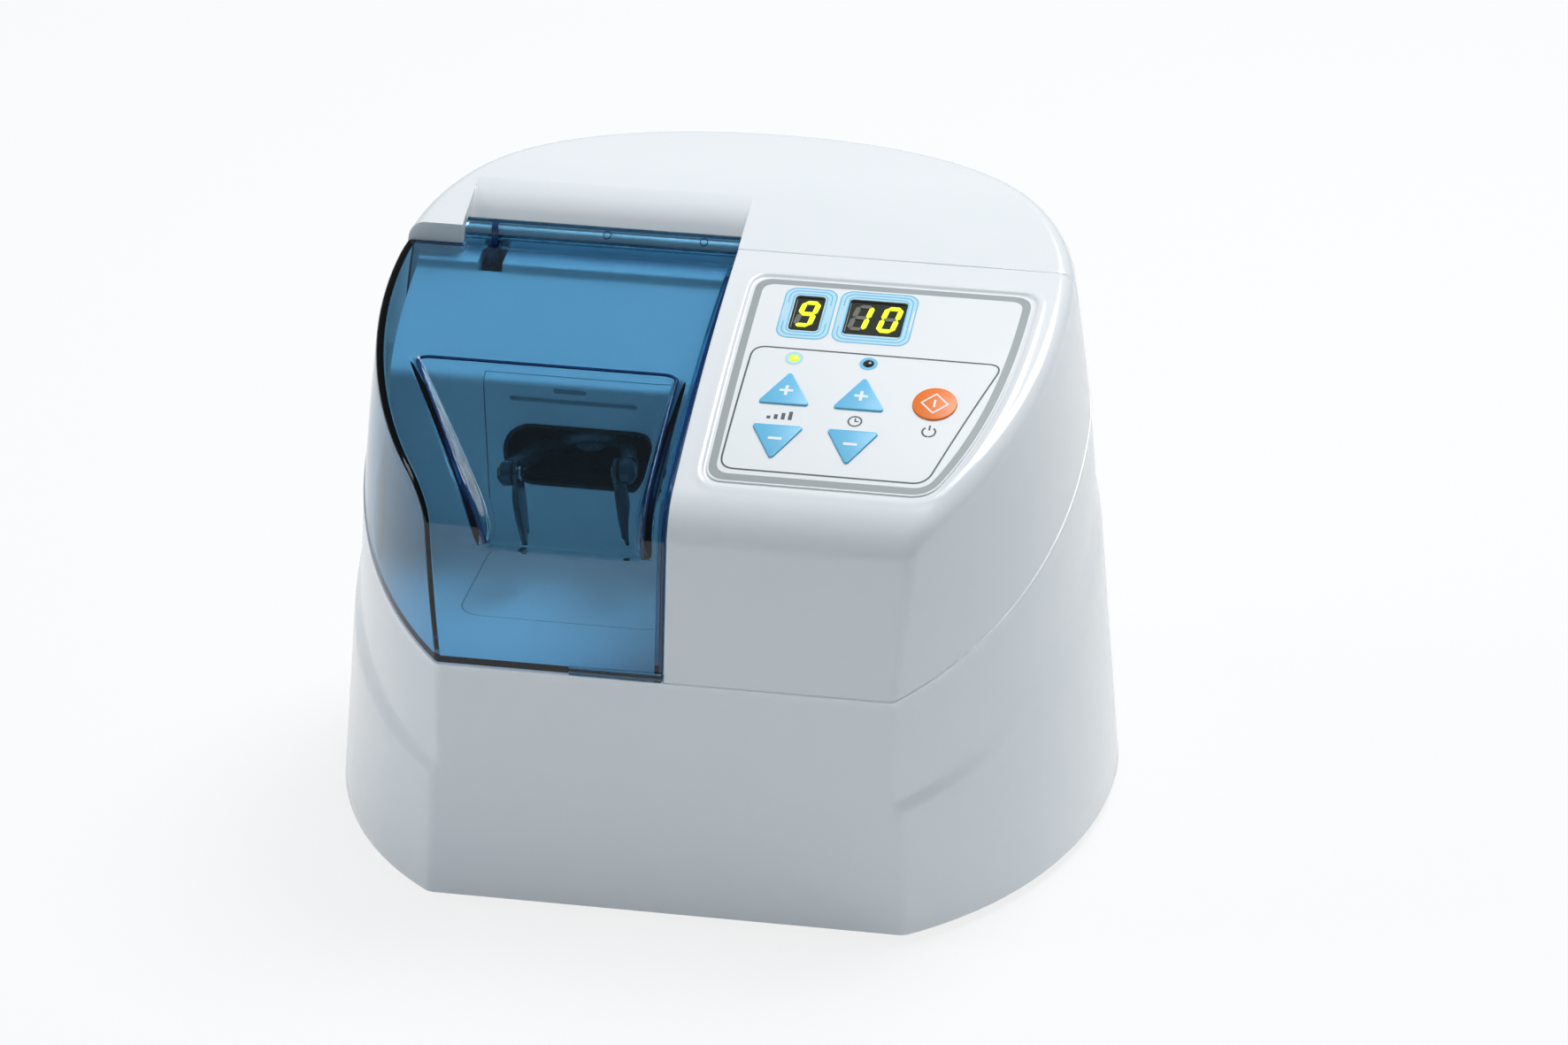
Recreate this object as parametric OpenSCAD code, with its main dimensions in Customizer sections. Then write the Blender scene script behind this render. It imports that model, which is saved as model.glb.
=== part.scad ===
// Bench-top capsule mixer: a tapered plastic case with a clear hood over the mixing
// chamber on the left, a sloping key panel on the right, and a motor-driven rocker that
// shakes the capsule along a figure of eight.
// Case frame: x = 0 is the mid-plane, y = 0 the widest line of the plan and z = 0 the
// bottom rim of the case. The front faces -Y. Everything is lifted by foot_h and moved
// by plan_y, so that the origin is the middle of the footprint on the table.

/* [Case] */
// Half width of the case at its bottom rim
base_half_w = 115; // [111:0.5:120]
// Distance from the widest line to the flat front, at the bottom rim
front_d = 105.6; // [104.6:0.2:107]
// Distance from the widest line to the rear, at the bottom rim
rear_d = 90; // [88:0.5:94]
// Height of the flat top above the cross seam
crown_h = 11.8; // [10.4:0.1:19]
// Sharpness of the plan outline, where 2 is an ellipse
plan_power = 2.13; // [2.05:0.01:2.3]
// Narrowing of the lower case per millimetre of height
low_taper = 0.085; // [0.07:0.005:0.1]
// Inset of the upper case behind the sweeping step
step_d = 3.4; // [2.6:0.1:4]
// Wall of the plastic shells
wall = 3; // [2.4:0.1:3.4]
// Height of the parting line at the front
part_front_z = 73.6; // [72:0.2:76]
// Angle at which the parting line climbs to the rear
part_angle = 20.5; // [18:0.5:22]
// Height of the seam between the control housing and the rear cover
seam_z = 158.7; // [157:0.1:160]
// Distance of that seam behind the widest line
seam_y = 7; // [5:0.5:8]
// Radius of the bend between the top slope and the front
bend_r = 18; // [14:0.5:22]
// Height of the rubber feet below the rim
foot_h = 2.5; // [1.5:0.1:5]

/* [Hood] */
// Thickness of the clear hood
hood_t = 2.5; // [1.8:0.1:3]
// Depth of the hood's rear edge below the neighbouring housing
hood_sag = 5; // [4:0.1:5.4]
// Gap between the hood and the parts beside it
hood_gap = 0.4; // [0.3:0.05:0.8]
// Width of the finger lip at the hood's bottom edge
lip_w = 26.5; // [15:0.5:40]
// Outer radius of the hinge barrel
barrel_r = 3.5; // [3.1:0.1:3.7]
// Radius of the steel hinge pin
pin_r = 1.5; // [1.2:0.1:1.9]
// Distance of the hinge axis behind the widest line
hinge_y = 14.5; // [14:0.1:15]
// Height of the hinge axis
hinge_z = 155.5; // [155:0.1:156]
// Radial clearance of every shaft and pin that turns in a bore
run_gap = 0.05; // [0.03:0.01:0.08]

/* [Mixing chamber] */
// Wall of the inner moulding around the chamber
chamber_t = 4; // [3:0.1:4.5]
// Thickness of the liner let into the chamber's wall and floor
liner_t = 2; // [1.2:0.1:2.4]
// Height of the chamber floor
floor_z = 73; // [71.5:0.1:73.4]
// Distance of the foot of the rear wall in front of the widest line
wall_foot_y = 27; // [26:0.1:29]
// Width of the opening that the rocker reaches through
opening_w = 48; // [46:0.5:52]
// Height of that opening
opening_h = 20.5; // [19:0.5:24]

/* [Control panel] */
// Thickness of the printed panel sheet
sheet_t = 0.6; // [0.4:0.1:1]
// Clearance around keys and displays
key_gap = 0.3; // [0.2:0.05:0.5]
// Travel of a key
key_travel = 0.5; // [0.3:0.05:0.6]
// Width of a triangular key
tri_w = 14.8; // [12:0.2:15.6]
// Height of a triangular key
tri_h = 12.2; // [10:0.2:12.8]
// Radius of the round start key
start_r = 6.3; // [5:0.1:7.5]
// Depth of the circuit board below the panel
board_depth = 11; // [10:0.2:14]

/* [Mixing drive] */
// Height of the motor shaft
shaft_z = 105; // [104:0.2:106]
// Distance of the motor shaft behind the widest line
shaft_y = 18; // [17.5:0.1:19]
// Distance of the rocker's centre left of the mid-plane
rocker_x = 38; // [37:0.2:39]
// Radius of the motor shaft
shaft_r = 4; // [3:0.1:5]
// Tilt of the rocker's bearing on the shaft
tilt = 6; // [4:0.5:6]
// Radius of the tilted journal
journal_r = 10; // [8.5:0.1:10.5]
// Outer radius of the rocker's bearing
bearing_r = 21; // [20:0.1:22]
// Distance from the shaft to the capsule clips
clip_reach = 69; // [66:0.5:72]
// Distance between the two capsule clips
clip_gap = 28.4; // [26:0.1:30]
// Radius of the motor
motor_r = 29; // [26:0.5:31]
// Height of the drive frame's deck
deck_z = 36; // [34:0.5:40]

/* [Rear and base] */
// Thickness of the base plate
plate_t = 2; // [1.2:0.1:3]
// Width of the flat connector panel in the rear
panel_w = 70; // [68:1:80]
// Width of the mains inlet's flange
inlet_w = 31; // [29:0.5:32]
// Width of the power switch's flange
switch_w = 15; // [14:0.5:18]
// Angle through which the power switch rocks
switch_swing = 14; // [8:1:18]

/* [Hidden] */

$fn = 48;
big = 300;
case_h = seam_z + crown_h;
plan_y = (front_d - rear_d) / 2;
plan_steps = 84;
fit = 0.3; // gap between pieces that are dropped into each other

// ---- Outer surface of the case ----

front_lean = 0.022;
front_bulge = 22.8;
up_curve = 1650;
part_slope = tan(part_angle);
front_part_y = -(front_d - front_lean * part_front_z);

function low_half(z) = base_half_w - low_taper * z;
function up_half(z) = base_half_w - step_d - 3 - pow(max(z - 30, 0), 2) / up_curve;
function rear_depth(half) = half - (base_half_w - rear_d);
function front_depth(z) = front_d + front_bulge - 0.02 * z;
function part_z(y) = part_front_z + part_slope * (y - front_part_y);
function step_low(y) = let(d = y + front_d) 37.9 + 0.19 * d + 0.001 * d * d;
function step_high(y) = let(d = y + front_d) 42.3 + 0.33 * d + 0.00095 * d * d;
function powered(v) = sign(v) * pow(abs(v), 2 / plan_power);
// Plan outline at height z, from the front right corner round the rear to the left one
function plan_point(i, half, z, inset) =
    let(a = half - inset, front = front_depth(z) - inset, rear = rear_depth(half) - inset,
        flat_y = front_d - front_lean * z - inset,
        corner = asin(pow(flat_y / front, plan_power / 2)),
        t = -corner + (180 + 2 * corner) * i / plan_steps)
    [a * powered(cos(t)), (sin(t) < 0 ? front : rear) * powered(sin(t))];
function side_x(y, z, inset = 0) =
    let(a = up_half(z) - inset,
        depth = (y < 0 ? front_depth(z) : rear_depth(up_half(z))) - inset)
    a * pow(1 - pow(abs(y) / depth, plan_power), 1 / plan_power);
function up_ring(z, inset) =
    [for (i = [0:plan_steps]) let(p = plan_point(i, up_half(z), z, inset)) [p.x, p.y, z]];
// Rings of the lower case follow the sweeping step, so their height varies along the plan
function low_ring_z(k, y) = [0, step_low(y), step_high(y),
    (step_high(y) + part_z(y)) / 2, part_z(y) + 8][k];
function low_ring(k, inset) =
    [for (i = [0:plan_steps])
        let(y = plan_point(i, low_half(0), 0, inset).y, z = low_ring_z(k, y),
            half = k < 2 ? low_half(z) : up_half(z), p = plan_point(i, half, z, inset))
        [p.x, p.y, z]];

module loft(rings) {
    count = len(rings[0]);
    last = len(rings) - 1;
    sides = [for (k = [0:last - 1], i = [0:count - 1])
        let(a = k * count + i, b = k * count + (i + 1) % count)
        each [[a, a + count, b], [b, a + count, b + count]]];
    bottom = [[for (i = [0:count - 1]) i]];
    top = [[for (i = [count - 1:-1:0]) last * count + i]];
    polyhedron([for (r = rings) each r], concat(bottom, sides, top));
}

module up_loft(inset = 0) {
    levels = [62, 80, 98, 116, 134, 152, case_h + 4];
    loft([for (z = levels) up_ring(z, inset)]);
}

module low_loft(inset = 0) {
    loft([for (k = [0:4]) low_ring(k, inset)]);
}

// Extrudes an outline drawn in the Y-Z plane from x0 to x1
module side_extrude(x0, x1) {
    translate([x0, 0, 0]) rotate([90, 0, 90]) linear_extrude(x1 - x0) children();
}

module above_parting(gap = 0) {
    side_extrude(-big, big)
        polygon([[-big, part_z(-big) + gap], [big, part_z(big) + gap], [big, big + part_z(big)],
            [-big, big + part_z(big)]]);
}

module placed() {
    translate([0, plan_y, foot_h]) children();
}

// ---- Top slope, bend and front, seen from the side ----

slope_start = 0.22;
slope_gain = 0.00125;
bend_y = 17.6 - front_d;
front_rise = 8.3;
rear_slope = 0.306;
crease_y = 41;

function top_z(y) = let(d = seam_y - y) seam_z - slope_start * d - slope_gain * d * d;
function top_slope(y) = slope_start + 2 * slope_gain * (seam_y - y);
function sag_at(y, sag) = sag * pow(max(y - bend_y, 0) / (seam_y - bend_y), 2);
function sag_slope(y, sag) = 2 * sag * max(y - bend_y, 0) / pow(seam_y - bend_y, 2);
function hood_z(y) = top_z(y) - sag_at(y, hood_sag);
// Point of the top slope sunk by drop along its normal
function slope_point(y, sag, drop) =
    let(s = top_slope(y) - sag_slope(y, sag), n = sqrt(1 + s * s))
    [y + drop * s / n, top_z(y) - sag_at(y, sag) - drop / n];
function bend_center() =
    let(s = top_slope(bend_y), n = sqrt(1 + s * s))
    [bend_y + bend_r * s / n, top_z(bend_y) - bend_r / n];
function bend_point(a, drop) = bend_center() + (bend_r - drop) * [cos(a), sin(a)];
function side_profile(sag, drop, steps = 16) =
    let(rear = seam_y + 20, start = 90 + atan(top_slope(bend_y)), end = 180 - front_rise,
        foot = bend_point(end, drop), fall = foot[1] - 30)
    concat([for (i = [0:steps]) slope_point(rear + (bend_y - rear) * i / steps, sag, drop)],
        [for (i = [1:6]) bend_point(start + (end - start) * i / 6, drop)],
        [[foot[0] - fall * tan(front_rise), 30], [rear + drop, 30]]);

// Block under the top slope and behind the front, sunk by drop, that ends at rear
module top_block(rear, sag, drop, x0, x1) {
    difference() {
        side_extrude(x0, x1) polygon(side_profile(sag, drop));
        translate([x0 - 1, rear, 0]) cube([x1 - x0 + 2, big, big]);
    }
}

// Places children on the panel slope, with +Z along the local normal
module on_slope(x, y) {
    translate([x, y, top_z(y)]) rotate([atan(top_slope(y)), 0, 0]) children();
}

// ---- Case ----

ledge_z = floor_z - chamber_t;
boss_r = 5;
boss_h = 20;
boss_places = [[base_half_w - 17, -50], [base_half_w - 29, 48]];
inlet_x = -16;
switch_x = 20;
connector_z = 32;
connector_y = rear_d - 10.5;
connector_h = 30;

module mirrored_places(places) {
    for (p = places, side = [-1, 1]) translate([side * p.x, p.y, 0]) children();
}

module connector_pad() {
    intersection() {
        low_loft();
        translate([-panel_w / 2 - wall, connector_y - wall, connector_z - connector_h / 2 - wall])
            cube([panel_w + 2 * wall, 20, connector_h + 2 * wall]);
    }
}

module lower_case() {
    color("whitesmoke") placed() difference() {
        union() {
            difference() {
                low_loft();
                loft([for (k = [0:4]) [for (p = low_ring(k, wall))
                    [p.x, p.y, p.z + (k == 0 ? -1 : k == 4 ? 1 : 0)]]]);
            }
            connector_pad();
            chamber_ledge();
            mirrored_places(boss_places) translate([0, 0, 1 + plate_t]) cylinder(r = boss_r, h = boss_h);
            intersection() {
                low_loft(wall / 2);
                mirrored_places(boss_places)
                    translate([-16, -wall / 2, 1 + plate_t]) cube([32, wall, boss_h]);
                for (side = [-1, 1]) translate([side * (base_half_w - 12), 0, 0])
                    translate([-17, -big, 0]) cube([34, 2 * big, 60]);
            }
        }
        above_parting();
        translate([-panel_w / 2, connector_y, connector_z - connector_h / 2])
            cube([panel_w, 20, connector_h]);
        translate([inlet_x, connector_y - 2 * wall, connector_z])
            centred_slot(inlet_body_w + 2 * fit, inlet_body_h + 2 * fit, 4 * wall);
        translate([switch_x, connector_y - 2 * wall, connector_z])
            centred_slot(switch_body_w + 2 * fit, switch_body_h + 2 * fit, 4 * wall);
        mirrored_places(boss_places) cylinder(r = case_screw_r, h = boss_h - 4);
    }
}

// Ledge inside the front left of the lower case that carries the chamber floor
module chamber_ledge() {
    intersection() {
        difference() {
            low_loft(wall / 2);
            translate([0, 0, ledge_z - 8]) linear_extrude(20)
                polygon([for (i = [0:plan_steps]) plan_point(i, up_half(ledge_z), ledge_z, wall + 5)]);
        }
        translate([-big, -front_d, ledge_z - 3]) cube([big + 6, front_d - wall_foot_y, 3]);
    }
}

// Box centred on X and Z that starts at y = 0
module centred_slot(w, h, d) {
    translate([-w / 2, 0, -h / 2]) cube([w, d, h]);
}

panel_top_y = -4.8;
panel_bottom_y = -84.6;
panel_left_x = 7.6;
panel_half_w = 84.4;
panel_front = 132;
panel_corner_r = 4;
rim_d = 17;

module panel_outline(grow = 0) {
    offset(r = grow + panel_corner_r) offset(delta = -panel_corner_r) intersection() {
        translate([panel_left_x, panel_bottom_y]) square([big, panel_top_y - panel_bottom_y]);
        polygon([for (t = [-90:3:90])
            [panel_half_w * powered(cos(t)), panel_front * powered(sin(t))]]);
    }
}

speed_x = 25;
timer_x = 46.4;
start_x = 67.7;
start_y = -51.8;
up_key_y = -51.9;
down_key_y = -68;
lamp_y = -38.2;
display_y = -20.2;
digit_w = 8.2;
digit_h = 15.4;
lamp_r = 1.5;

// The keys by place: x, y and kind
key_places = [[speed_x, up_key_y, "up"], [speed_x, down_key_y, "down"],
    [timer_x, up_key_y, "up"], [timer_x, down_key_y, "down"], [start_x, start_y, "start"]];
display_places = [[speed_x - 0.2, display_y, digit_w], [timer_x - 2, display_y, 2 * digit_w]];
lamp_places = [[speed_x, lamp_y], [timer_x, lamp_y]];

module key_outline(kind, grow = 0) {
    half = tri_w / 2;
    up = kind == "up" ? 1 : -1;
    if (kind == "start") circle(r = start_r + grow);
    else hull() for (p = [[0, tri_h / 2 - 1], [half - 1.5, 1 - tri_h / 2], [1.5 - half, 1 - tri_h / 2]])
        translate([p.x, up * p.y]) circle(r = 0.8 + grow, $fn = 24);
}

module control_housing() {
    color("whitesmoke") placed() difference() {
        union() {
            difference() {
                housing_block(0, 0);
                housing_block(wall, -1);
            }
            partition();
            intersection() {
                top_block(seam_y, 0, wall / 2, 0, big);
                board_posts();
            }
        }
        intersection() {
            linear_extrude(big) panel_outline(0.2);
            difference() {
                translate([0, -big / 2, 0]) cube(big);
                top_block(seam_y + 20, 0, sheet_t, -1, 2 * big);
            }
        }
        panel_holes(-1.5 * wall, 3);
        board_screw_places() translate([0, 0, -1]) cylinder(r = board_screw_r, h = 7);
    }
}

// Control half of the upper case as a block, sunk by drop and started at x0
module housing_block(drop, x0) {
    intersection() {
        up_loft(drop);
        top_block(seam_y + (drop > 0 ? 5 : 0), 0, drop, x0, big);
        above_parting(drop > 0 ? -20 : 0);
    }
}

// Wall between the mixing chamber and the electronics, with a rim further back
module partition() {
    back_y = chamber_t + 1 - wall_foot_y;
    front_y = front_part_y + wall + fit;
    foot = part_z(back_y);
    difference() {
        intersection() {
            top_block(seam_y, 0, wall / 2, 0, wall);
            side_extrude(0, wall) polygon([[front_y, ledge_z], [back_y, ledge_z], [back_y, foot],
                [seam_y, part_z(seam_y)], [seam_y, big], [-big, big], [-big, part_z(-big)],
                [front_y, part_z(front_y)]]);
        }
        side_extrude(-1, wall + 1) polygon(concat(
            [for (y = [seam_y + 1, back_y]) [y, top_z(y) - rim_d]],
            [[back_y, ledge_z - 1], [seam_y + 1, ledge_z - 1]]));
    }
}

module panel_holes(from, to) {
    for (k = key_places) on_slope(k[0], k[1])
        translate([0, 0, from]) linear_extrude(to - from) key_outline(k[2], key_gap);
    for (d = display_places) on_slope(d[0], d[1])
        translate([-d[2] / 2 - key_gap, -digit_h / 2 - key_gap, from])
            cube([d[2] + 2 * key_gap, digit_h + 2 * key_gap, to - from]);
    for (p = lamp_places) on_slope(p.x, p.y)
        translate([0, 0, from]) cylinder(r = lamp_r + 0.1, h = to - from);
}

module panel_sheet() {
    color("gainsboro") placed() difference() {
        intersection() {
            linear_extrude(big) panel_outline();
            difference() {
                top_block(seam_y, 0, 0, -1, big);
                top_block(seam_y + 10, 0, sheet_t, -2, big + 1);
            }
        }
        panel_holes(-3, 3);
    }
}

// ---- Rear cover and hinge ----

ear_x = -82.5;
ear_y = seam_y + 1.7;
hood_end_y = seam_y + 0.6;
scoop_foot_y = hinge_y + 4;
scoop_top_y = scoop_foot_y + 4;
trough_z = hinge_z - barrel_r - 2;

function rear_z(y) = y < crease_y ? seam_z + rear_slope * (y - seam_y)
    : min(case_h, seam_z + rear_slope * (crease_y - seam_y) + (y - crease_y) * 0.07);
function rear_profile(drop) =
    concat([for (y = [-20, crease_y, crease_y + 20, 120]) [y, rear_z(y) - drop * 1.04]],
        [[120, 40], [-20, 40]]);

module rear_block(drop) {
    intersection() {
        up_loft(drop);
        side_extrude(-big, big) polygon(rear_profile(drop));
    }
}

// Space in front of the scoop that the hood's hinge turns in, grown by g, above low
module hinge_space(g, low) {
    side_extrude(ear_x - g, g) polygon([[-big, low], [scoop_foot_y + g, low],
        [scoop_foot_y + g, trough_z], [scoop_top_y + g, rear_z(scoop_top_y) + 0.5],
        [scoop_top_y + g, big], [-big, big]]);
}

module rear_cover() {
    color("whitesmoke") placed() difference() {
        union() {
            difference() {
                intersection() {
                    rear_block(0);
                    above_parting();
                }
                translate([0, -big, 0]) cube([big, big + seam_y, big]);
                translate([-big, -big, 0]) cube([big + ear_x, big + ear_y, big]);
                hinge_space(0, 0);
                difference() {
                    rear_block(wall);
                    translate([-big, -big, 0]) cube([big + ear_x + wall, big + ear_y + wall, big]);
                    hinge_space(wall, trough_z - chamber_t);
                }
            }
        }
        hinge_axis(ear_x - 2 * wall) cylinder(r = pin_r, h = 4 * wall - ear_x);
    }
}

module hinge_axis(x0) {
    translate([x0, hinge_y, hinge_z]) rotate([0, 90, 0]) children();
}

module hinge_pin() {
    color("silver") placed() hinge_axis(ear_x - wall) cylinder(r = pin_r, h = 2 * wall - ear_x);
}

// ---- Hood ----

facet_angle = 32.6;
facet_y = bend_y + 40.8;
facet_len = 64;
facet_right = -6.6;
facet_left_top = -83.5;
facet_left_bottom = -50;
lip_h = 2;
tab_x = -73.5;
tab_t = 3;
tab_reach = 11.3;

// Prism that cuts the flat facet into the hood's bend
module facet_prism(grow) {
    translate([0, facet_y, hood_z(facet_y)]) rotate([facet_angle, 0, 0])
        translate([0, 0, -grow]) linear_extrude(40)
        polygon([[facet_right + grow, grow], [facet_left_top - grow, grow],
            [facet_left_bottom - grow, -facet_len - grow], [facet_right + grow, -facet_len - grow]]);
}

module hood_block(drop) {
    difference() {
        intersection() {
            up_loft(drop);
            top_block(hood_end_y + (drop > 0 ? 5 : 0), hood_sag, drop, -big, drop > 0 ? 0 : -hood_gap);
        }
        facet_prism(drop);
    }
}

// Edge strip of the hood's right side, as deep as the flange
module hood_flange() {
    flange_d = 6;
    difference() {
        intersection() {
            top_block(hood_end_y, hood_sag, 0, -hood_gap - hood_t, -hood_gap);
            up_loft(0);
        }
        top_block(ear_y, hood_sag, flange_d, -big, 1);
        translate([-big, seam_y - 1, 0]) cube([2 * big, 50, trough_z + 2 * hood_gap]);
    }
}

module hood() {
    color([0.2, 0.45, 0.75, 0.5]) placed() difference() {
        union() {
            difference() {
                intersection() {
                    hood_block(0);
                    above_parting(hood_gap);
                }
                hood_block(hood_t);
            }
            intersection() {
                hood_flange();
                above_parting(hood_gap);
            }
            hood_hinge();
            hood_lip();
        }
        hinge_axis(ear_x) cylinder(r = pin_r + run_gap, h = -ear_x);
    }
}

module hood_hinge() {
    barrel_l = -ear_x - 2 * hood_gap;
    sheet_z = hood_z(seam_y) - hood_t;
    hinge_axis(ear_x + hood_gap) cylinder(r = barrel_r, h = barrel_l);
    translate([ear_x + hood_gap, seam_y, sheet_z])
        cube([barrel_l, hinge_y - seam_y - pin_r - 0.6, hood_t]);
    side_extrude(tab_x - tab_t / 2, tab_x + tab_t / 2)
        polygon([[hinge_y - 6, hinge_z - 3], [hinge_y - 6, hinge_z - tab_reach + 2],
            [hinge_y - 4, hinge_z - tab_reach], [hinge_y - 2, hinge_z - tab_reach],
            [hinge_y, hinge_z - tab_reach + 3], [hinge_y, hinge_z - barrel_r + 0.4],
            [hinge_y - 2.4, hinge_z - 1.9]]);
}

module hood_lip() {
    lip_z = part_z(front_part_y) + hood_gap;
    translate([-hood_gap - lip_w, front_part_y - 1.4, lip_z]) cube([lip_w, 2.4, lip_h]);
}

// ---- Mixing chamber ----

cheek_inset = 5.2;
shelf_drop = 2.6;
shelf_slope = 0.4725;
wall_top_y = -33;
shelf_z = trough_z - shelf_drop;
shelf_edge_z = shelf_z + shelf_slope * (wall_top_y - seam_y);
wall_lean = (wall_top_y + wall_foot_y) / (shelf_edge_z - floor_z);
liner_left = -66.8;
liner_right = -6;
liner_front = -71;
liner_lip = 3;
slot_x = [-77, -70];
slot_y = [5.5, 17];

function wall_y(z, back = 0) = -wall_foot_y + wall_lean * (z - floor_z) + back;
function shelf_at(y, down = 0) = shelf_z + shelf_slope * (y - seam_y) - down;
function chamber_front() = front_part_y + wall + fit;

// Shelf, rear wall and floor of the chamber seen from the side, as a band of thickness t
module chamber_band(t, rear, front, lip) {
    under = t * sqrt(1 + shelf_slope * shelf_slope);
    inner_z = (shelf_z - under + shelf_slope * (wall_y(0, t) - seam_y))
        / (1 - shelf_slope * wall_lean);
    start = lip > 0 ? wall_top_y + lip : seam_y;
    head = lip > 0 ? [[start, shelf_at(start)]] : [[rear, trough_z], [seam_y, trough_z], [seam_y, shelf_z]];
    tail = lip > 0 ? [[start, shelf_at(start, under)]]
        : [[seam_y, shelf_at(seam_y, under)], [seam_y + 3, trough_z - t], [rear, trough_z - t]];
    polygon(concat(head, [[wall_top_y, shelf_edge_z], [-wall_foot_y, floor_z],
        [front, floor_z], [front, floor_z - t], [wall_y(floor_z, t), floor_z - t],
        [wall_y(inner_z, t), inner_z]], tail));
}

module chamber_housing() {
    color("white") placed() difference() {
        union() {
            intersection() {
                union() {
                    intersection() {
                        up_loft(cheek_inset);
                        translate([-big, -big, floor_z]) cube([big, 2 * big, big]);
                    }
                    intersection() {
                        low_loft(wall + fit);
                        translate([-big, -big, ledge_z]) cube([big, big, floor_z - ledge_z]);
                    }
                }
                side_extrude(-big, 0)
                    chamber_band(chamber_t, scoop_foot_y - fit, chamber_front(), 0);
            }
            chamber_cheek();
            side_extrude(slot_x[1], slot_x[1] + 2)
                polygon([[-2, shelf_at(-2, 3)], [-2, 124], [scoop_foot_y - 2, 124],
                    [scoop_foot_y - 2, trough_z - 2], [seam_y, trough_z - 4]]);
        }
        liner_block(fit);
        translate([0, -fit, fit]) liner_block(fit);
        at_opening() opening_prism(3);
        translate([slot_x[0], slot_y[0], trough_z - 12])
            cube([slot_x[1] - slot_x[0], slot_y[1] - slot_y[0], 20]);
        translate([ear_x + fit - 40, ear_y - fit, trough_z - 20]) cube([40, 30, 60]);
    }
}

// Return wall on the chamber's left, behind the rear wall
module chamber_cheek() {
    intersection() {
        difference() {
            up_loft(cheek_inset);
            up_loft(cheek_inset + 2.5);
        }
        side_extrude(-big, -60) polygon([[wall_y(floor_z, 1), floor_z - 1],
            [wall_y(shelf_edge_z, 1), shelf_at(wall_top_y, 2)], [seam_y - 0.5, shelf_z - 1],
            [seam_y - 0.5, floor_z - 1]]);
    }
}

// Volume of the liner, grown by g at its edges
module liner_block(g) {
    intersection() {
        translate([liner_left - g, liner_front - g, floor_z - liner_t])
            cube([liner_right - liner_left + 2 * g, big, big]);
        side_extrude(-big, big) chamber_band(liner_t + g / 6, 0, -big, liner_lip + g);
    }
}

// Rounded opening of the chamber's rear wall, grown by g
module opening_prism(g) {
    w = opening_w / 2 + g;
    h = opening_h / 2 + g;
    r = h - 1;
    translate([0, 10 - wall_foot_y, 0]) rotate([90, 0, 0]) linear_extrude(40)
        union() {
            for (side = [-1, 1], up = [-1, 1])
                translate([side * (w - r), up * (h - r)]) circle(r = r);
            square([2 * (w - r), 2 * h], center = true);
            square([2 * w, 2 * (h - r)], center = true);
        }
}

module chamber_liner() {
    color("white") placed() difference() {
        liner_block(0);
        at_opening() opening_prism(0);
        translate([-56, -big, 118.6]) cube([30, big, 1.4]);
    }
}

// Slab parallel to the chamber's rear wall, between two depths behind its face
module wall_slab(from, to) {
    low = shaft_z - opening_h;
    high = shaft_z + opening_h;
    side_extrude(-rocker_x - opening_w, -rocker_x + opening_w)
        polygon([[wall_y(low, from), low], [wall_y(high, from), high], [wall_y(high, to), high],
            [wall_y(low, to), low]]);
}

module at_opening() {
    translate([-rocker_x, 0, shaft_z]) children();
}

// Rubber gasket clipped into the opening
module opening_gasket() {
    lip = 2.5;
    color([0.12, 0.14, 0.14]) placed() difference() {
        union() {
            intersection() {
                at_opening() opening_prism(-0.1);
                wall_slab(0, chamber_t - 0.4);
            }
            intersection() {
                at_opening() opening_prism(lip);
                wall_slab(liner_t + 0.1, chamber_t - 0.4);
            }
        }
        at_opening() opening_prism(-1);
    }
}

// ---- Base ----

plate_inset = wall + fit;
foot_places = [[base_half_w - 41, -72], [base_half_w - 45, 52]];
foot_r = 8;
foot_t = foot_h + 1;
foot_screw_r = 1.5;
case_screw_r = 1.5;
post_places = [[-64, 2], [-64, 34], [47, 2], [47, 34]];
isolator_h = 14;
isolator_r = 8;

module at_places(places) {
    for (p = places) translate([p.x, p.y, 0]) children();
}

module pan_screw(r, l) {
    cylinder(r = 2 * r, h = 1.6 * r);
    translate([0, 0, r]) cylinder(r = r, h = l - r);
}

module base_plate() {
    z = 1;
    color("lightslategray") placed() difference() {
        union() {
            translate([0, 0, z]) linear_extrude(plate_t)
                polygon([for (i = [0:plan_steps]) plan_point(i, low_half(z), z, plate_inset)]);
            at_places(post_places) translate([0, 0, z]) cylinder(r = 6, h = deck_z - isolator_h - z);
            at_places(standoff_places)
                translate([0, 0, z]) cylinder(r = 3, h = board_z - z);
        }
        mirrored_places(boss_places) cylinder(r = case_screw_r, h = 10);
        mirrored_places(foot_places) cylinder(r = foot_screw_r, h = 10);
        at_places(post_places) translate([0, 0, deck_z - isolator_h - 8]) cylinder(r = 2, h = 20);
        for (i = [-4:4]) translate([i * 7 - 1.25, 60, 0]) cube([2.5, 18, 10]);
    }
}

module rubber_feet() {
    color([0.15, 0.15, 0.15]) placed() mirrored_places(foot_places) difference() {
        translate([0, 0, -foot_h]) cylinder(r = foot_r, h = foot_t);
        translate([0, 0, -foot_h - 1]) cylinder(r = 4, h = 2.6);
        translate([0, 0, -foot_h]) cylinder(r = foot_screw_r, h = 10);
    }
}

module foot_screws() {
    color("silver") placed() mirrored_places(foot_places)
        translate([0, 0, 1.6 - foot_h]) {
            translate([0, 0, -1.2]) cylinder(r = 2.8, h = 1.2);
            cylinder(r = foot_screw_r, h = foot_t + plate_t);
        }
}

module case_screws() {
    color("silver") placed() mirrored_places(boss_places) {
        translate([0, 0, -1]) cylinder(r = 3, h = 2);
        translate([0, 0, 1]) cylinder(r = case_screw_r, h = 12);
    }
}

// ---- Circuit board behind the panel ----

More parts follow.
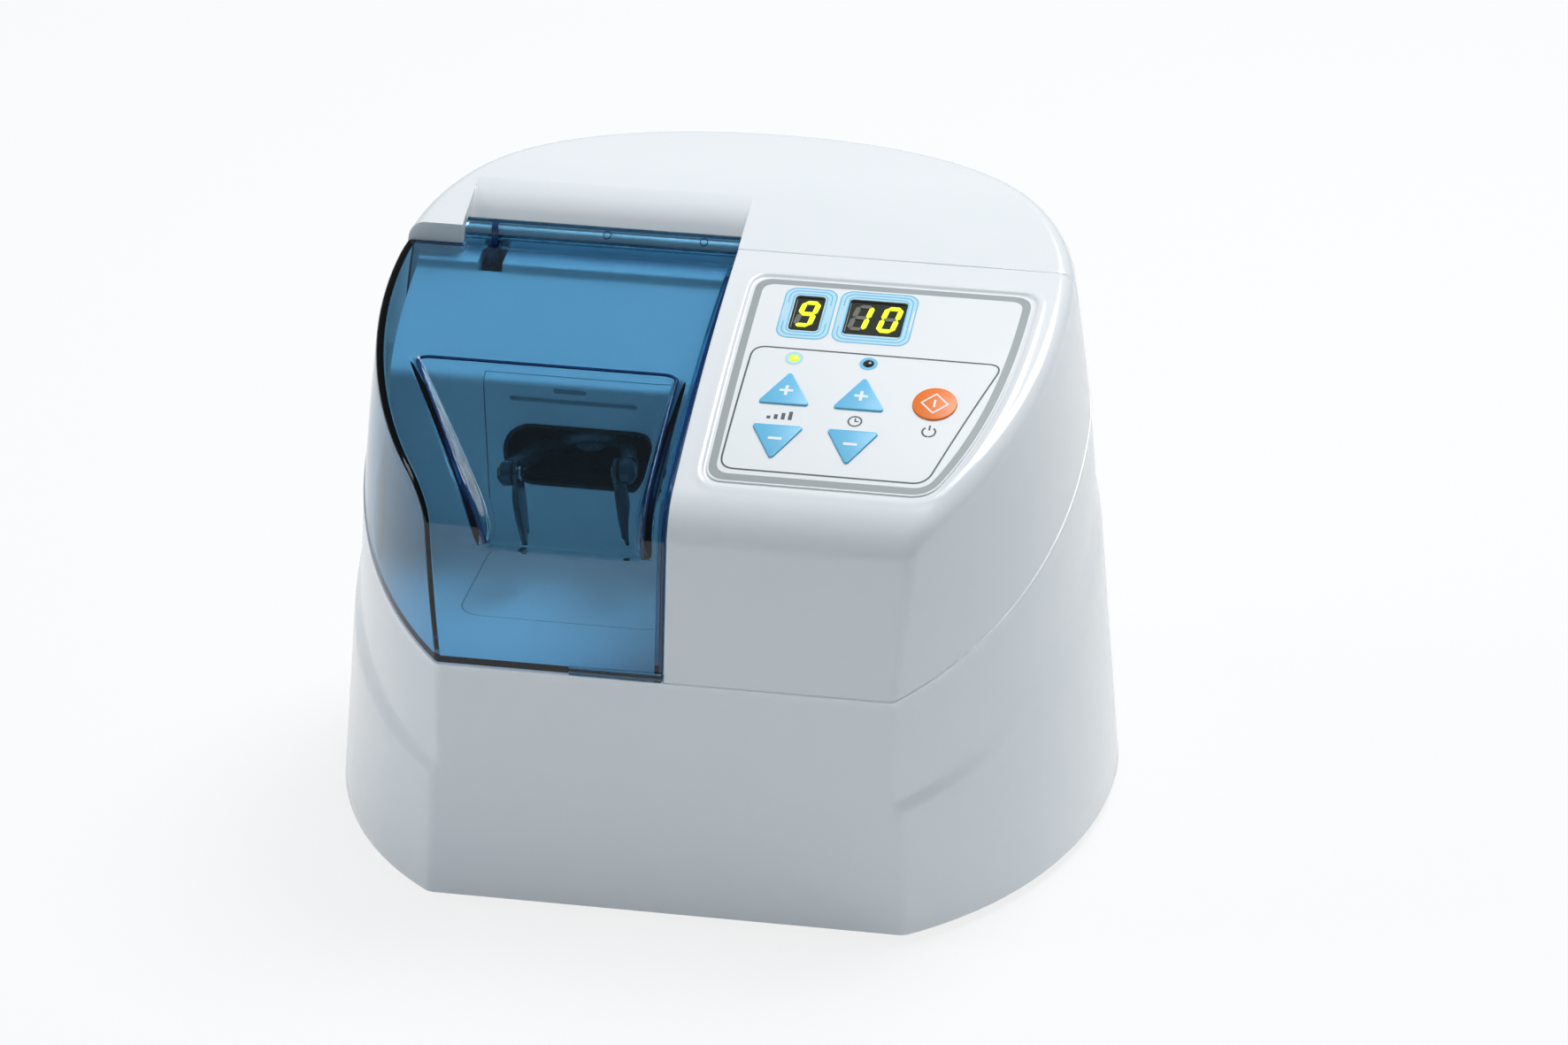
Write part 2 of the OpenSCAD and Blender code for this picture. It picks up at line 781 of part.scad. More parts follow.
board_top_y = -12;
board_low_y = -76;
board_slope = (top_z(board_top_y) - top_z(board_low_y)) / (board_top_y - board_low_y);
board_angle = atan(board_slope);
board_t = 1.6;
board_w = 66;
board_l = 70;
board_left = 9;
board_screw_r = 1.2;
board_holes = [[4, 4], [board_w - 5, 4], [4, board_l - 6], [board_w - 13, board_l - 4]];
tact_h = 5;
lamp_h = 2;

function chord_z(y) = top_z(board_top_y) + board_slope * (y - board_top_y);
function depth_at(y) = board_depth + (top_z(y) - chord_z(y)) * cos(board_angle);

// Places children on the board's top face, measured from its upper left corner
module on_board(x, y) {
    translate([board_left, board_top_y + 4, chord_z(board_top_y + 4)])
        rotate([board_angle, 0, 0]) translate([x, -y, -board_depth]) children();
}

module board_screw_places() {
    for (p = board_holes) on_board(p[0], p[1]) children();
}

module board_posts() {
    board_screw_places() cylinder(r = 3, h = board_depth + 4);
}

module control_board() {
    color("seagreen") placed() difference() {
        on_board(0, 0) translate([0, -board_l, -board_t]) cube([board_w, board_l, board_t]);
        board_screw_places() translate([0, 0, -5]) cylinder(r = board_screw_r, h = 10);
    }
}

module board_screws() {
    color("silver") placed() board_screw_places() {
        translate([0, 0, -board_t - 1.4]) cylinder(r = 2.4, h = 1.4);
        translate([0, 0, -board_t]) cylinder(r = board_screw_r, h = board_t + 4);
    }
}

// Places children on the board where a key's stem points at it
module under_key(k) {
    on_slope(k[0], k[1]) translate([0, 0, -depth_at(k[1])])
        rotate([board_angle - atan(top_slope(k[1])), 0, 0]) children();
}

module tact_switches() {
    color("dimgray") placed() for (k = key_places) under_key(k) {
        translate([-3, -3, 0.1]) cube([6, 6, tact_h - 1.6]);
        cylinder(r = 1.7, h = tact_h);
    }
}

module display_block(d) {
    depth = depth_at(d[1]) - 0.6;
    on_slope(d[0], d[1]) difference() {
        translate([-d[2] / 2, -digit_h / 2, -depth]) cube([d[2], digit_h, depth - 0.2]);
        translate([-d[2] / 2 + 1, -digit_h / 2 + 1, -0.5]) cube([d[2] - 2, digit_h - 2, 1]);
    }
}

module display_speed() {
    color("darkslategray") placed() display_block(display_places[0]);
}

module display_timer() {
    color("darkslategray") placed() display_block(display_places[1]);
}

module indicator_lamps() {
    color("yellowgreen") placed() for (p = lamp_places) on_slope(p.x, p.y) {
        translate([0, 0, 0.3 - depth_at(p.y)]) cylinder(r = lamp_r, h = depth_at(p.y) - 0.3);
        sphere(r = lamp_r);
    }
}

// A key: cap through the housing, a collar that keeps it in, and a stem to its switch
module key(k) {
    collar_top = -wall - key_gap;
    stem = depth_at(k[1]) - tact_h - key_travel - 0.2;
    on_slope(k[0], k[1]) {
        translate([0, 0, collar_top - 1]) linear_extrude(1.5 - collar_top) key_outline(k[2]);
        translate([0, 0, collar_top - 1]) linear_extrude(1) key_outline(k[2], 1.2);
        translate([0, 0, -stem]) cylinder(r = 1.5, h = stem);
    }
}

module key_speed_up() { color("skyblue") placed() key(key_places[0]); }
module key_speed_down() { color("skyblue") placed() key(key_places[1]); }
module key_timer_up() { color("skyblue") placed() key(key_places[2]); }
module key_timer_down() { color("skyblue") placed() key(key_places[3]); }
module key_start_stop() { color("orangered") placed() key(key_places[4]); }

// ---- Drive frame and motor ----

deck_t = 4;
deck_x = [-80, 56];
deck_y = [-8, 44];
upright_x = -76;
upright_t = 4;
plate_x = -16;
bush_r = shaft_r + 3;
boss_ring_r = shaft_r + 6;
can_x = [-9, 42];
can_t = 2;
bell_t = 3;
mount_pitch = 19;

module along_shaft(x) {
    translate([x, shaft_y, shaft_z]) rotate([0, 90, 0]) children();
}

module upright(x, t, top_r, foot_half) {
    side_extrude(x, x + t) polygon([[shaft_y - foot_half, deck_z + deck_t / 2],
        [shaft_y + foot_half, deck_z + deck_t / 2], [shaft_y + top_r, shaft_z],
        [shaft_y - top_r, shaft_z]]);
    along_shaft(x) cylinder(r = top_r, h = t);
}

module drive_frame() {
    color("lightgray") placed() difference() {
        union() {
            translate([deck_x[0], deck_y[0], deck_z])
                cube([deck_x[1] - deck_x[0], deck_y[1] - deck_y[0], deck_t]);
            upright(upright_x, upright_t, bush_r + 3, 20);
            upright(plate_x, upright_t, motor_r - 5, 24);
            for (side = [-1, 1]) translate([0, shaft_y + side * 17 - 2, deck_z + deck_t / 2])
                side_rib();
            for (y = spring_post_y) translate([-rocker_x - 3, y - 2, deck_z + deck_t / 2])
                cube([6, 4, lug_z + 5 - deck_z]);
        }
        along_shaft(upright_x - 1) cylinder(r = bush_r, h = upright_t + 2);
        along_shaft(plate_x - 1) cylinder(r = boss_ring_r, h = upright_t + 2);
        motor_bolt_places() translate([0, 0, plate_x - 1]) cylinder(r = 2, h = upright_t + 2);
        at_places(post_places) translate([0, 0, deck_z - 1]) cylinder(r = 2.2, h = deck_t + 2);
    }
}

module side_rib() {
    translate([plate_x + upright_t - 1, 0, 0]) rotate([90, 0, 0]) translate([0, 0, -4])
        linear_extrude(4) polygon([[0, 0], [26, 0], [0, 26]]);
}

module motor_bolt_places() {
    for (a = [45:90:315]) translate([0, shaft_y, shaft_z]) rotate([a, 0, 0])
        rotate([0, 90, 0]) translate([-mount_pitch, 0, 0]) children();
}

module isolators() {
    color([0.15, 0.15, 0.15]) placed() at_places(post_places)
        translate([0, 0, deck_z - isolator_h]) difference() {
            union() {
                cylinder(r = isolator_r, h = 4);
                cylinder(r = isolator_r - 2, h = isolator_h);
                translate([0, 0, isolator_h - 4]) cylinder(r = isolator_r, h = 4);
            }
            translate([0, 0, -1]) cylinder(r = 2.2, h = isolator_h + 2);
        }
}

module isolator_screws() {
    color("silver") placed() at_places(post_places) {
        translate([0, 0, deck_z + deck_t]) cylinder(r = 4, h = 2.6, $fn = 6);
        translate([0, 0, deck_z - isolator_h - 7]) cylinder(r = 2, h = isolator_h + 7 + deck_t);
    }
}

module motor_can() {
    color("silver") placed() difference() {
        along_shaft(can_x[0]) cylinder(r = motor_r, h = can_x[1] - can_x[0]);
        along_shaft(can_x[0] - 1) cylinder(r = motor_r - can_t, h = can_x[1] - can_x[0] + 2);
    }
}

module motor_front_bell() {
    color("dimgray") placed() difference() {
        union() {
            along_shaft(can_x[0] - bell_t) cylinder(r = motor_r, h = bell_t);
            along_shaft(plate_x) cylinder(r = boss_ring_r, h = 8);
            along_shaft(can_x[0]) cylinder(r = motor_r - can_t, h = 2);
        }
        along_shaft(plate_x - 1) cylinder(r = bush_r, h = 20);
    }
}

module motor_rear_bell() {
    color("dimgray") placed() difference() {
        union() {
            along_shaft(can_x[1]) cylinder(r = motor_r, h = bell_t + 1);
            along_shaft(can_x[1] - 2) cylinder(r = motor_r - can_t, h = 2);
            along_shaft(can_x[1]) cylinder(r = boss_ring_r, h = 9);
        }
        along_shaft(can_x[1] - 3) cylinder(r = bush_r, h = 10);
    }
}

module field_magnets() {
    gap_r = armature_r + 1;
    color([0.25, 0.25, 0.28]) placed() along_shaft(can_x[0] + 6) difference() {
        cylinder(r = motor_r - can_t, h = 34);
        translate([0, 0, -1]) cylinder(r = gap_r, h = 40);
        translate([-big / 2, -5, -1]) cube([big, 10, 40]);
    }
}

armature_r = motor_r - 10;

module armature() {
    color("peru") placed() difference() {
        union() {
            along_shaft(can_x[0] + 8) cylinder(r = armature_r, h = 28);
            along_shaft(can_x[0] + 36) cylinder(r = 9, h = 10);
        }
        along_shaft(can_x[0]) cylinder(r = shaft_r, h = 60);
    }
}

module drive_shaft() {
    color("silver") placed() along_shaft(upright_x - 2)
        cylinder(r = shaft_r, h = can_x[1] + 6 - upright_x + 2);
}

module bush(x, l) {
    along_shaft(x) difference() {
        cylinder(r = bush_r, h = l);
        translate([0, 0, -1]) cylinder(r = shaft_r + run_gap, h = l + 2);
    }
}

module shaft_bushes() {
    color("goldenrod") placed() {
        bush(upright_x - 1, upright_t + 2);
        bush(plate_x, 8);
        bush(can_x[1] - 2, 9);
    }
}

// ---- Tilted bearing and rocker ----

hub_half = 15;
journal_half = 6.5;
ring_half = 6;
ball_r = 2.6;
ball_path_r = (journal_r + bearing_r) / 2;
ring_gap_r = 1.2;
rocker_hub_r = bearing_r + 5;
lug_z = shaft_z - rocker_hub_r - 7;
spring_post_y = [shaft_y - 22, shaft_y + 22];
arm_lift = 5;
crossbar_y = -40;
clip_t = 1;

// Frame of the tilted bearing: +X along its axis, centred on the shaft
module tilted() {
    translate([-rocker_x, shaft_y, shaft_z]) rotate([0, -tilt, 0]) children();
}

module ring_of_revolution(r0, r1) {
    rotate([0, 90, 0]) difference() {
        translate([0, 0, -ring_half]) cylinder(r = r1, h = 2 * ring_half);
        translate([0, 0, -ring_half - 1]) cylinder(r = r0, h = 2 * ring_half + 2);
        rotate_extrude() translate([ball_path_r, 0]) circle(r = ball_r + run_gap);
    }
}

module eccentric_hub() {
    color("slategray") placed() difference() {
        union() {
            along_shaft(-rocker_x - hub_half) cylinder(r = shaft_r + 4, h = 2 * hub_half);
            tilted() rotate([0, 90, 0]) translate([0, 0, -journal_half])
                cylinder(r = journal_r, h = 2 * journal_half);
        }
        along_shaft(-rocker_x - hub_half - 1) cylinder(r = shaft_r, h = 2 * hub_half + 2);
    }
}

module counterweights() {
    color("dimgray") placed() for (side = [-1, 1])
        along_shaft(-rocker_x + side * (hub_half - 2) - 2) difference() {
            cylinder(r = bearing_r - 1, h = 4);
            translate([0, 0, -1]) cylinder(r = shaft_r + 4, h = 6);
            translate([side * big / 2 - side * 2, 0, 0]) cube([big, big, 20], center = true);
        }
}

module bearing_inner_ring() {
    color("silver") placed() tilted() ring_of_revolution(journal_r, ball_path_r - ring_gap_r);
}

module bearing_outer_ring() {
    color("silver") placed() tilted() ring_of_revolution(ball_path_r + ring_gap_r, bearing_r);
}

module bearing_balls() {
    color("silver") placed() tilted() for (a = [0:36:324]) rotate([a, 0, 0])
        translate([0, 0, ball_path_r]) sphere(r = ball_r, $fn = 24);
}

arm_out = clip_gap / 2 + clip_t;

function arm_root(side) = [side * (arm_out - 3.2), crossbar_y + 1, 1.5];
function arm_tip(side) = [side * (arm_out + 3), 2 - clip_reach, arm_lift];

module rocker_arm() {
    color("darkslategray") placed() tilted() difference() {
        union() {
            rotate([0, 90, 0]) translate([0, 0, -ring_half]) cylinder(r = rocker_hub_r, h = 2 * ring_half);
            translate([-5.5, crossbar_y + 1, -3]) cube([11, -crossbar_y - rocker_hub_r + 6, 10]);
            translate([-19, crossbar_y, -2]) cube([38, 4.5, 11]);
            translate([-3, -3, -rocker_hub_r - 12]) cube([6, 6, 14]);
            for (side = [-1, 1]) {
                hull() {
                    translate(arm_root(side)) sphere(r = 2.9, $fn = 20);
                    translate(arm_tip(side)) sphere(r = 2.4, $fn = 20);
                }
                translate([side * arm_out, -clip_reach, arm_lift]) rotate([0, side * 90, 0])
                    cylinder(r = 4, h = 4.6);
            }
        }
        rotate([0, 90, 0]) translate([0, 0, -ring_half - 1]) cylinder(r = bearing_r, h = 2 * ring_half + 2);
        for (side = [-1, 1]) translate([side * clip_gap / 2, -clip_reach, arm_lift])
            rotate([0, side * 90, 0]) cylinder(r = rivet_r, h = 30);
    }
}

rivet_r = 1.25;
clip_len = 24;
clip_w = 9;

// Leaf-shaped spring clip with a dimple hole for the capsule's end
module capsule_clip(side) {
    arc_r = (clip_len * clip_len / 4 + clip_w * clip_w / 4) / clip_w;
    tilted() translate([side * clip_gap / 2 + (side < 0 ? -clip_t : 0), -clip_reach, arm_lift])
        difference() {
            side_extrude(0, clip_t) union() {
                circle(r = 4);
                translate([0, -clip_len / 2]) intersection() {
                    translate([arc_r - clip_w / 2, 0]) circle(r = arc_r);
                    translate([clip_w / 2 - arc_r, 0]) circle(r = arc_r);
                }
            }
            translate([-1, 0, 0]) rotate([0, 90, 0]) cylinder(r = rivet_r, h = 4);
            translate([-1, 0, -clip_len * 0.55]) rotate([0, 90, 0]) cylinder(r = 1.6, h = 4);
        }
}

module capsule_clip_left() { color("slategray") placed() capsule_clip(-1); }
module capsule_clip_right() { color("slategray") placed() capsule_clip(1); }

module clip_rivets() {
    color("silver") placed() tilted() for (side = [-1, 1])
        translate([side * clip_gap / 2, -clip_reach, arm_lift]) rotate([0, side * 90, 0]) {
            cylinder(r = rivet_r, h = clip_t + 4.6);
            translate([0, 0, -0.8]) cylinder(r = 2.2, h = 0.8);
        }
}

// Two coil springs that hold the rocker's lug between the frame's posts
module rocker_springs() {
    turns = 5;
    wire = 0.9;
    lug_x = -rocker_x + (shaft_z - lug_z) * sin(tilt);
    color("silver") placed() for (side = [0, 1]) {
        from = [-rocker_x, spring_post_y[side] + (side == 0 ? 2 : -2), lug_z];
        to = [lug_x, shaft_y + (side == 0 ? -3.2 : 3.2), lug_z];
        span = to - from;
        translate(from) rotate([0, 0, atan2(span.y, span.x)]) rotate([0, 90, 0])
            translate([0, 0, wire]) linear_extrude(norm(span) - 2 * wire, twist = -360 * turns,
                slices = 14 * turns, $fn = 7) translate([3.2, 0]) circle(r = wire);
    }
}

// ---- Power supply ----

core_at = [30, -62, 1 + plate_t];
core_size = [56, 44, 46];
coil_grow = 7;
board_z = 14;
supply_at = [-56, -88];
supply_size = [74, 58];
standoff_places = [for (x = [5, supply_size.x - 5], y = [5, supply_size.y - 5])
    [supply_at.x + x, supply_at.y + y]];

module transformer_core() {
    leg = core_size.x / 4;
    color("slategray") placed() translate(core_at) difference() {
        cube(core_size);
        for (x = [leg * 0.6, leg * 2.4]) translate([x, -1, leg * 0.6])
            cube([leg, core_size.y + 2, core_size.z - leg * 1.2]);
    }
}

module transformer_coil() {
    leg = core_size.x / 4;
    color("khaki") placed() translate(core_at + [leg * 0.6 + 0.3, -coil_grow, leg * 0.6 + 0.3])
        difference() {
            cube([leg * 2.8 - 0.6, core_size.y + 2 * coil_grow, core_size.z - leg * 1.2 - 0.6]);
            translate([leg - 0.6, coil_grow - 0.3, -1])
                cube([leg * 0.8 + 0.6, core_size.y + 0.6, core_size.z]);
        }
}

module power_board() {
    color("seagreen") placed() difference() {
        translate([supply_at.x, supply_at.y, board_z]) cube([supply_size.x, supply_size.y, board_t]);
        at_places(standoff_places) translate([0, 0, board_z - 1]) cylinder(r = 1.5, h = 4);
    }
}

module board_components() {
    color("dimgray") placed() translate([supply_at.x, supply_at.y, board_z + board_t]) {
        for (x = [16, 32]) translate([x, 14, 0]) cylinder(r = 6.5, h = 22);
        translate([42, 8, 0]) cube([16, 14, 16]);
        translate([14, 30, 0]) cube([28, 3, 24]);
        for (x = [17, 28]) translate([x, 33, 2]) cube([9, 4, 14]);
        translate([46, 34, 0]) cube([10, 10, 9]);
        translate([ribbon_x - supply_at.x - 1, 34, 0]) cube([ribbon_w + 2, 6, 8]);
    }
}

ribbon_x = 5;
ribbon_w = 10;
ribbon_t = 0.8;

// Flat cable from the supply board up to the back of the control board
module ribbon_cable() {
    foot_y = supply_at.y + 37;
    foot_z = board_z + board_t + 8;
    route = [[foot_y, foot_z], [foot_y, 34], [foot_y - 14, 52], [foot_y - 14, 92],
        [foot_y - 9, 104], ribbon_head()];
    color("silver") placed() side_extrude(board_left + 1, board_left + 1 + ribbon_w - 4)
        polygon(concat(route, [for (i = [len(route) - 1:-1:0]) route[i] + [ribbon_t, 0]]));
}

function ribbon_head() = let(y = -58) [y, chord_z(y) - (board_depth + board_t) / cos(board_angle) - 0.2];

// ---- Mains inlet and power switch ----

inlet_h = 24;
inlet_body_w = 27;
inlet_body_h = 19.5;
inlet_depth = 18;
flange_t = 2.5;
socket_w = 24.2;
socket_h = 16.4;
socket_depth = 15;
pin_spread = 7;
switch_h = 21;
switch_body_w = 13;
switch_body_h = 19.2;
switch_depth = 15;
rocker_w = 10.4;
rocker_r = 8.2;
axle_half = switch_body_w / 2 - 0.5;

module at_connector(x) {
    translate([x, connector_y, connector_z]) children();
}

module power_inlet() {
    color([0.1, 0.1, 0.1]) placed() at_connector(inlet_x) difference() {
        union() {
            centred_slot(inlet_w, inlet_h, flange_t);
            translate([0, -inlet_depth, 0]) centred_slot(inlet_body_w, inlet_body_h, inlet_depth);
        }
        translate([0, flange_t - socket_depth, 0]) rotate([-90, 0, 0]) linear_extrude(socket_depth + 1)
            polygon([[-socket_w / 2, -socket_h / 2], [socket_w / 2, -socket_h / 2],
                [socket_w / 2, socket_h / 2 - 4], [socket_w / 2 - 4, socket_h / 2],
                [4 - socket_w / 2, socket_h / 2], [-socket_w / 2, socket_h / 2 - 4]]);
        for (p = pin_places) translate([p.x - 1, -inlet_depth - 1, p.y - 2])
            cube([2, inlet_depth, 4]);
    }
}

pin_places = [[-pin_spread, 2], [pin_spread, 2], [0, -2]];

module inlet_pins() {
    reach = 4.6;
    color("silver") placed() at_connector(inlet_x) for (p = pin_places)
        translate([p.x - 1, -inlet_depth - 6, p.y - 2]) cube([2, inlet_depth + 6 + flange_t - reach, 4]);
}

module switch_body() {
    color([0.1, 0.1, 0.1]) placed() at_connector(switch_x) difference() {
        union() {
            centred_slot(switch_w, switch_h, flange_t);
            translate([0, -switch_depth, 0]) centred_slot(switch_body_w, switch_body_h, switch_depth);
        }
        translate([0, -7, 0]) centred_slot(rocker_w + 2 * fit, 2 * rocker_r + 0.8, 20);
        translate([-axle_half - 0.2, -0.5, 0]) rotate([0, 90, 0])
            cylinder(r = 1 + run_gap, h = 2 * axle_half + 0.4);
    }
}

module switch_rocker() {
    color([0.75, 0.1, 0.08]) placed() at_connector(switch_x) translate([0, -0.5, 0])
        rotate([switch_swing / 2, 0, 0]) {
            side_extrude(-rocker_w / 2, rocker_w / 2)
                polygon([[-4, -3], [0.5, -rocker_r + 0.6], [3.4, -rocker_r + 0.8], [2.6, 0],
                    [3.4, rocker_r - 0.8], [0.5, rocker_r - 0.6], [-4, 3]]);
            translate([-axle_half, 0, 0]) rotate([0, 90, 0]) cylinder(r = 1, h = 2 * axle_half);
        }
}

// ---- Hood interlock ----

lever_hinge = [19.5, 141.8];
lever_t = 0.8;
lever_tip_y = 7.2;

module interlock_switch() {
    x0 = slot_x[1] - 6.5;
    color([0.1, 0.1, 0.12]) placed() difference() {
        union() {
            side_extrude(x0, slot_x[1]) polygon([[0, 126], [20, 126], [20, 139], [0, 139]]);
            side_extrude(x0 + 1.2, x0 + 2) polygon([[18, 138], [21.4, 138], [21.4, 143.4], [18, 143.4]]);
            side_extrude(slot_x[1] - 2, slot_x[1] - 1.2)
                polygon([[18, 138], [21.4, 138], [21.4, 143.4], [18, 143.4]]);
        }
        translate([x0 - 1, lever_hinge[0], lever_hinge[1]]) rotate([0, 90, 0])
            cylinder(r = 0.7, h = 10);
    }
}

module interlock_lever() {
    x0 = slot_x[1] - 6.5;
    color("silver") placed() {
        side_extrude(x0 + 2.2, slot_x[1] - 2.2)
            polygon([lever_hinge + [0, -0.4], [lever_tip_y, 142.9], [lever_tip_y, 142.9 + lever_t],
                lever_hinge + [0, 0.4]]);
        translate([x0 + 1.3, lever_hinge[0], lever_hinge[1]]) rotate([0, 90, 0])
            cylinder(r = 0.7 - run_gap, h = 4);
    }
}

lower_case();
control_housing();
rear_cover();
chamber_housing();
chamber_liner();
opening_gasket();
hood();
hinge_pin();
base_plate();
rubber_feet();
foot_screws();
case_screws();
panel_sheet();
control_board();
board_screws();
tact_switches();
display_speed();
display_timer();
indicator_lamps();
key_speed_up();
key_speed_down();
key_timer_up();
key_timer_down();
key_start_stop();
drive_frame();
isolators();
isolator_screws();
motor_can();
motor_front_bell();
motor_rear_bell();
field_magnets();
armature();
drive_shaft();
shaft_bushes();
eccentric_hub();
counterweights();
bearing_inner_ring();
bearing_balls();
bearing_outer_ring();
rocker_arm();
capsule_clip_left();
capsule_clip_right();
clip_rivets();
rocker_springs();
transformer_core();
transformer_coil();
power_board();
board_components();
ribbon_cable();
power_inlet();
inlet_pins();
switch_body();
switch_rocker();
interlock_switch();
interlock_lever();
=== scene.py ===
import math
import bmesh
import bpy
import numpy as np
from mathutils import Matrix, Vector
from mathutils.geometry import delaunay_2d_cdt


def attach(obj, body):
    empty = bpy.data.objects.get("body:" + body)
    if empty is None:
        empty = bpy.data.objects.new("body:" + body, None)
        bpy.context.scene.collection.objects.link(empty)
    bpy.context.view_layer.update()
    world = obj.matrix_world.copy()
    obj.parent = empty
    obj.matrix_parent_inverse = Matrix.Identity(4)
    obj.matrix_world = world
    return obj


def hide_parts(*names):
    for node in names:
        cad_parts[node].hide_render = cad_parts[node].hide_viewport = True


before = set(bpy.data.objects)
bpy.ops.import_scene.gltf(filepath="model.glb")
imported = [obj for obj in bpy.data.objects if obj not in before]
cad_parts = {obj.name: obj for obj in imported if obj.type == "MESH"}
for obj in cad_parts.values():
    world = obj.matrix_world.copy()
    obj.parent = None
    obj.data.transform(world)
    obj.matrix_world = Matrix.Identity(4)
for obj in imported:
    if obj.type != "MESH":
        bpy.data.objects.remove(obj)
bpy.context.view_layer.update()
print("frame loaded")

scene = bpy.context.scene
scene.view_settings.view_transform = "Standard"

# Sizes are in millimetres in the case's own frame: x to the right, y to the
# rear, z up from the case's lower edge. toMetres puts them in the row frame.
caseSize = dict(
    halfWidth=115.0, frontDepth=105.6, rearDepth=90.0,
    power=2.13, lowTaper=0.085, stepDepth=6.4, upStart=30.0, upCurve=1650.0,
    stepLow=(37.9, 0.19, 0.001), stepHigh=(42.3, 0.33, 0.00095),
    frontLean=0.022, frontDraft=0.02, frontBulge=22.8, wall=3.0, corner=1.8,
    partFrontZ=73.6, partFrontY=-103.98, partSlope=math.tan(math.radians(20.5)),
    shift=(0.0, 7.8, 2.5),
)
slopeSize = dict(
    seamY=7.0, seamZ=158.7, start=0.22, gain=0.00125, bendY=-88.0,
    bendRadius=18.0, rise=8.3,
)


def toMetres(points):
    return (np.asarray(points, float) + np.array(caseSize["shift"])) / 1000


def lowHalf(z):
    return caseSize["halfWidth"] - caseSize["lowTaper"] * z


def upHalf(z):
    lift = np.maximum(np.asarray(z, float) - caseSize["upStart"], 0)
    return caseSize["halfWidth"] - caseSize["stepDepth"] - lift ** 2 / caseSize["upCurve"]


def partZ(y):
    return caseSize["partFrontZ"] + caseSize["partSlope"] * (y - caseSize["partFrontY"])


def stepAt(y, level):
    # Lower or upper edge of the step that runs round the case.
    start, slope, curve = caseSize[level]
    d = y + caseSize["frontDepth"]
    return start + slope * d + curve * d * d


def powered(v):
    return np.sign(v) * np.abs(v) ** (2 / caseSize["power"])


def depths(z, half, inset):
    front = caseSize["frontDepth"] + caseSize["frontBulge"] - caseSize["frontDraft"] * z - inset
    rear = half - (caseSize["halfWidth"] - caseSize["rearDepth"]) - inset
    flat = caseSize["frontDepth"] - caseSize["frontLean"] * z - inset
    return front, rear, flat


def sideX(y, z, inset=0.0):
    y, z = np.asarray(y, float), np.asarray(z, float)
    front, rear, _ = depths(z, upHalf(z), inset)
    depth = np.where(y < 0, front, rear)
    share = np.clip(1 - (np.abs(y) / depth) ** caseSize["power"], 0, None)
    return (upHalf(z) - inset) * share ** (1 / caseSize["power"])


def unit(vectors):
    return vectors / np.linalg.norm(vectors, axis=-1, keepdims=True)


def bend(first, middle, last, t):
    # A point on the curve that leaves first and reaches last, drawn to middle.
    return (1 - t) ** 2 * first + 2 * t * (1 - t) * middle + t ** 2 * last


def sideNormal(y, z, inset):
    step = 0.05
    dy = (sideX(y + step, z, inset) - sideX(y - step, z, inset)) / (2 * step)
    dz = (sideX(y, z + step, inset) - sideX(y, z - step, inset)) / (2 * step)
    return unit(np.stack([np.ones_like(dy), -dy, -dz], -1))


def planStations(side, corner, flat):
    parts = [(0, np.linspace(0, 1, flat + 1)), (1, np.linspace(0, 1, corner + 2)[1:-1]),
             (2, np.linspace(0, 1, side)), (3, np.linspace(0, 1, corner + 2)[1:-1]),
             (0, np.linspace(-1, 0, flat + 1)[:-1])]
    kind = np.concatenate([np.full(len(f), k) for k, f in parts])
    return kind, np.concatenate([f for _, f in parts])


def planPoints(stations, z, half, inset):
    kind, share = stations
    z = np.broadcast_to(np.asarray(z, float), share.shape)
    half = np.broadcast_to(np.asarray(half, float), share.shape)
    front, rear, flat = depths(z, half, inset)
    a, n, leg = half - inset, caseSize["power"], caseSize["corner"]

    def onCurve(t):
        depth = np.where(np.sin(t) < 0, front, rear)
        return np.stack([a * powered(np.cos(t)), depth * powered(np.sin(t))], -1)

    cornerX = a * (1 - (flat / front) ** n) ** (1 / n)
    turn = np.arcsin((flat / front) ** (n / 2))
    speed = np.linalg.norm(onCurve(-turn + 0.01) - onCurve(-turn), axis=-1) / 0.01
    lead = leg / speed
    sidePoints = onCurve(-turn + lead + share * (math.pi + 2 * turn - 2 * lead))
    flatPoints = np.stack([share * (cornerX - leg), -flat], -1)
    sign = np.where(kind == 3, -1.0, 1.0)
    s = np.where(kind == 3, 1 - share, share)[:, None]
    first = np.stack([cornerX - leg, -flat], -1)
    middle = np.stack([cornerX, -flat], -1)
    cornerPoints = bend(first, middle, onCurve(-turn + lead), s)
    cornerPoints[:, 0] *= sign
    points = np.where((kind == 0)[:, None], flatPoints,
                      np.where((kind == 2)[:, None], sidePoints, cornerPoints))
    return np.concatenate([points, z[:, None]], 1)


def smooth(t):
    t = np.clip(t, 0, 1)
    return t * t * (3 - 2 * t)


def softPlus(v, k):
    return 0.5 * (v + np.sqrt(v * v + k * k))


def atX(x, line):
    # A line of the y and z plane, put at x.
    return np.insert(np.asarray(line, float), 0, x, axis=1)


def stepsBetween(anchors, counts):
    # Steps from each anchor to the next: which one, how far along, and where.
    for k, count in enumerate(counts):
        for t in np.linspace(0, 1, count + 1)[1:]:
            yield k, t, anchors[k] * (1 - t) + anchors[k + 1] * t


# A shell is a growing list of points and faces, welded when it is finished.
weldGap = dict(points=4e-6, edges=1e-7)


def newShell():
    return dict(points=[], faces=[], count=0)


def addPoints(shell, points):
    start = shell["count"]
    points = np.asarray(points, float).reshape(-1, 3)
    shell["points"].append(points)
    shell["count"] += len(points)
    return start


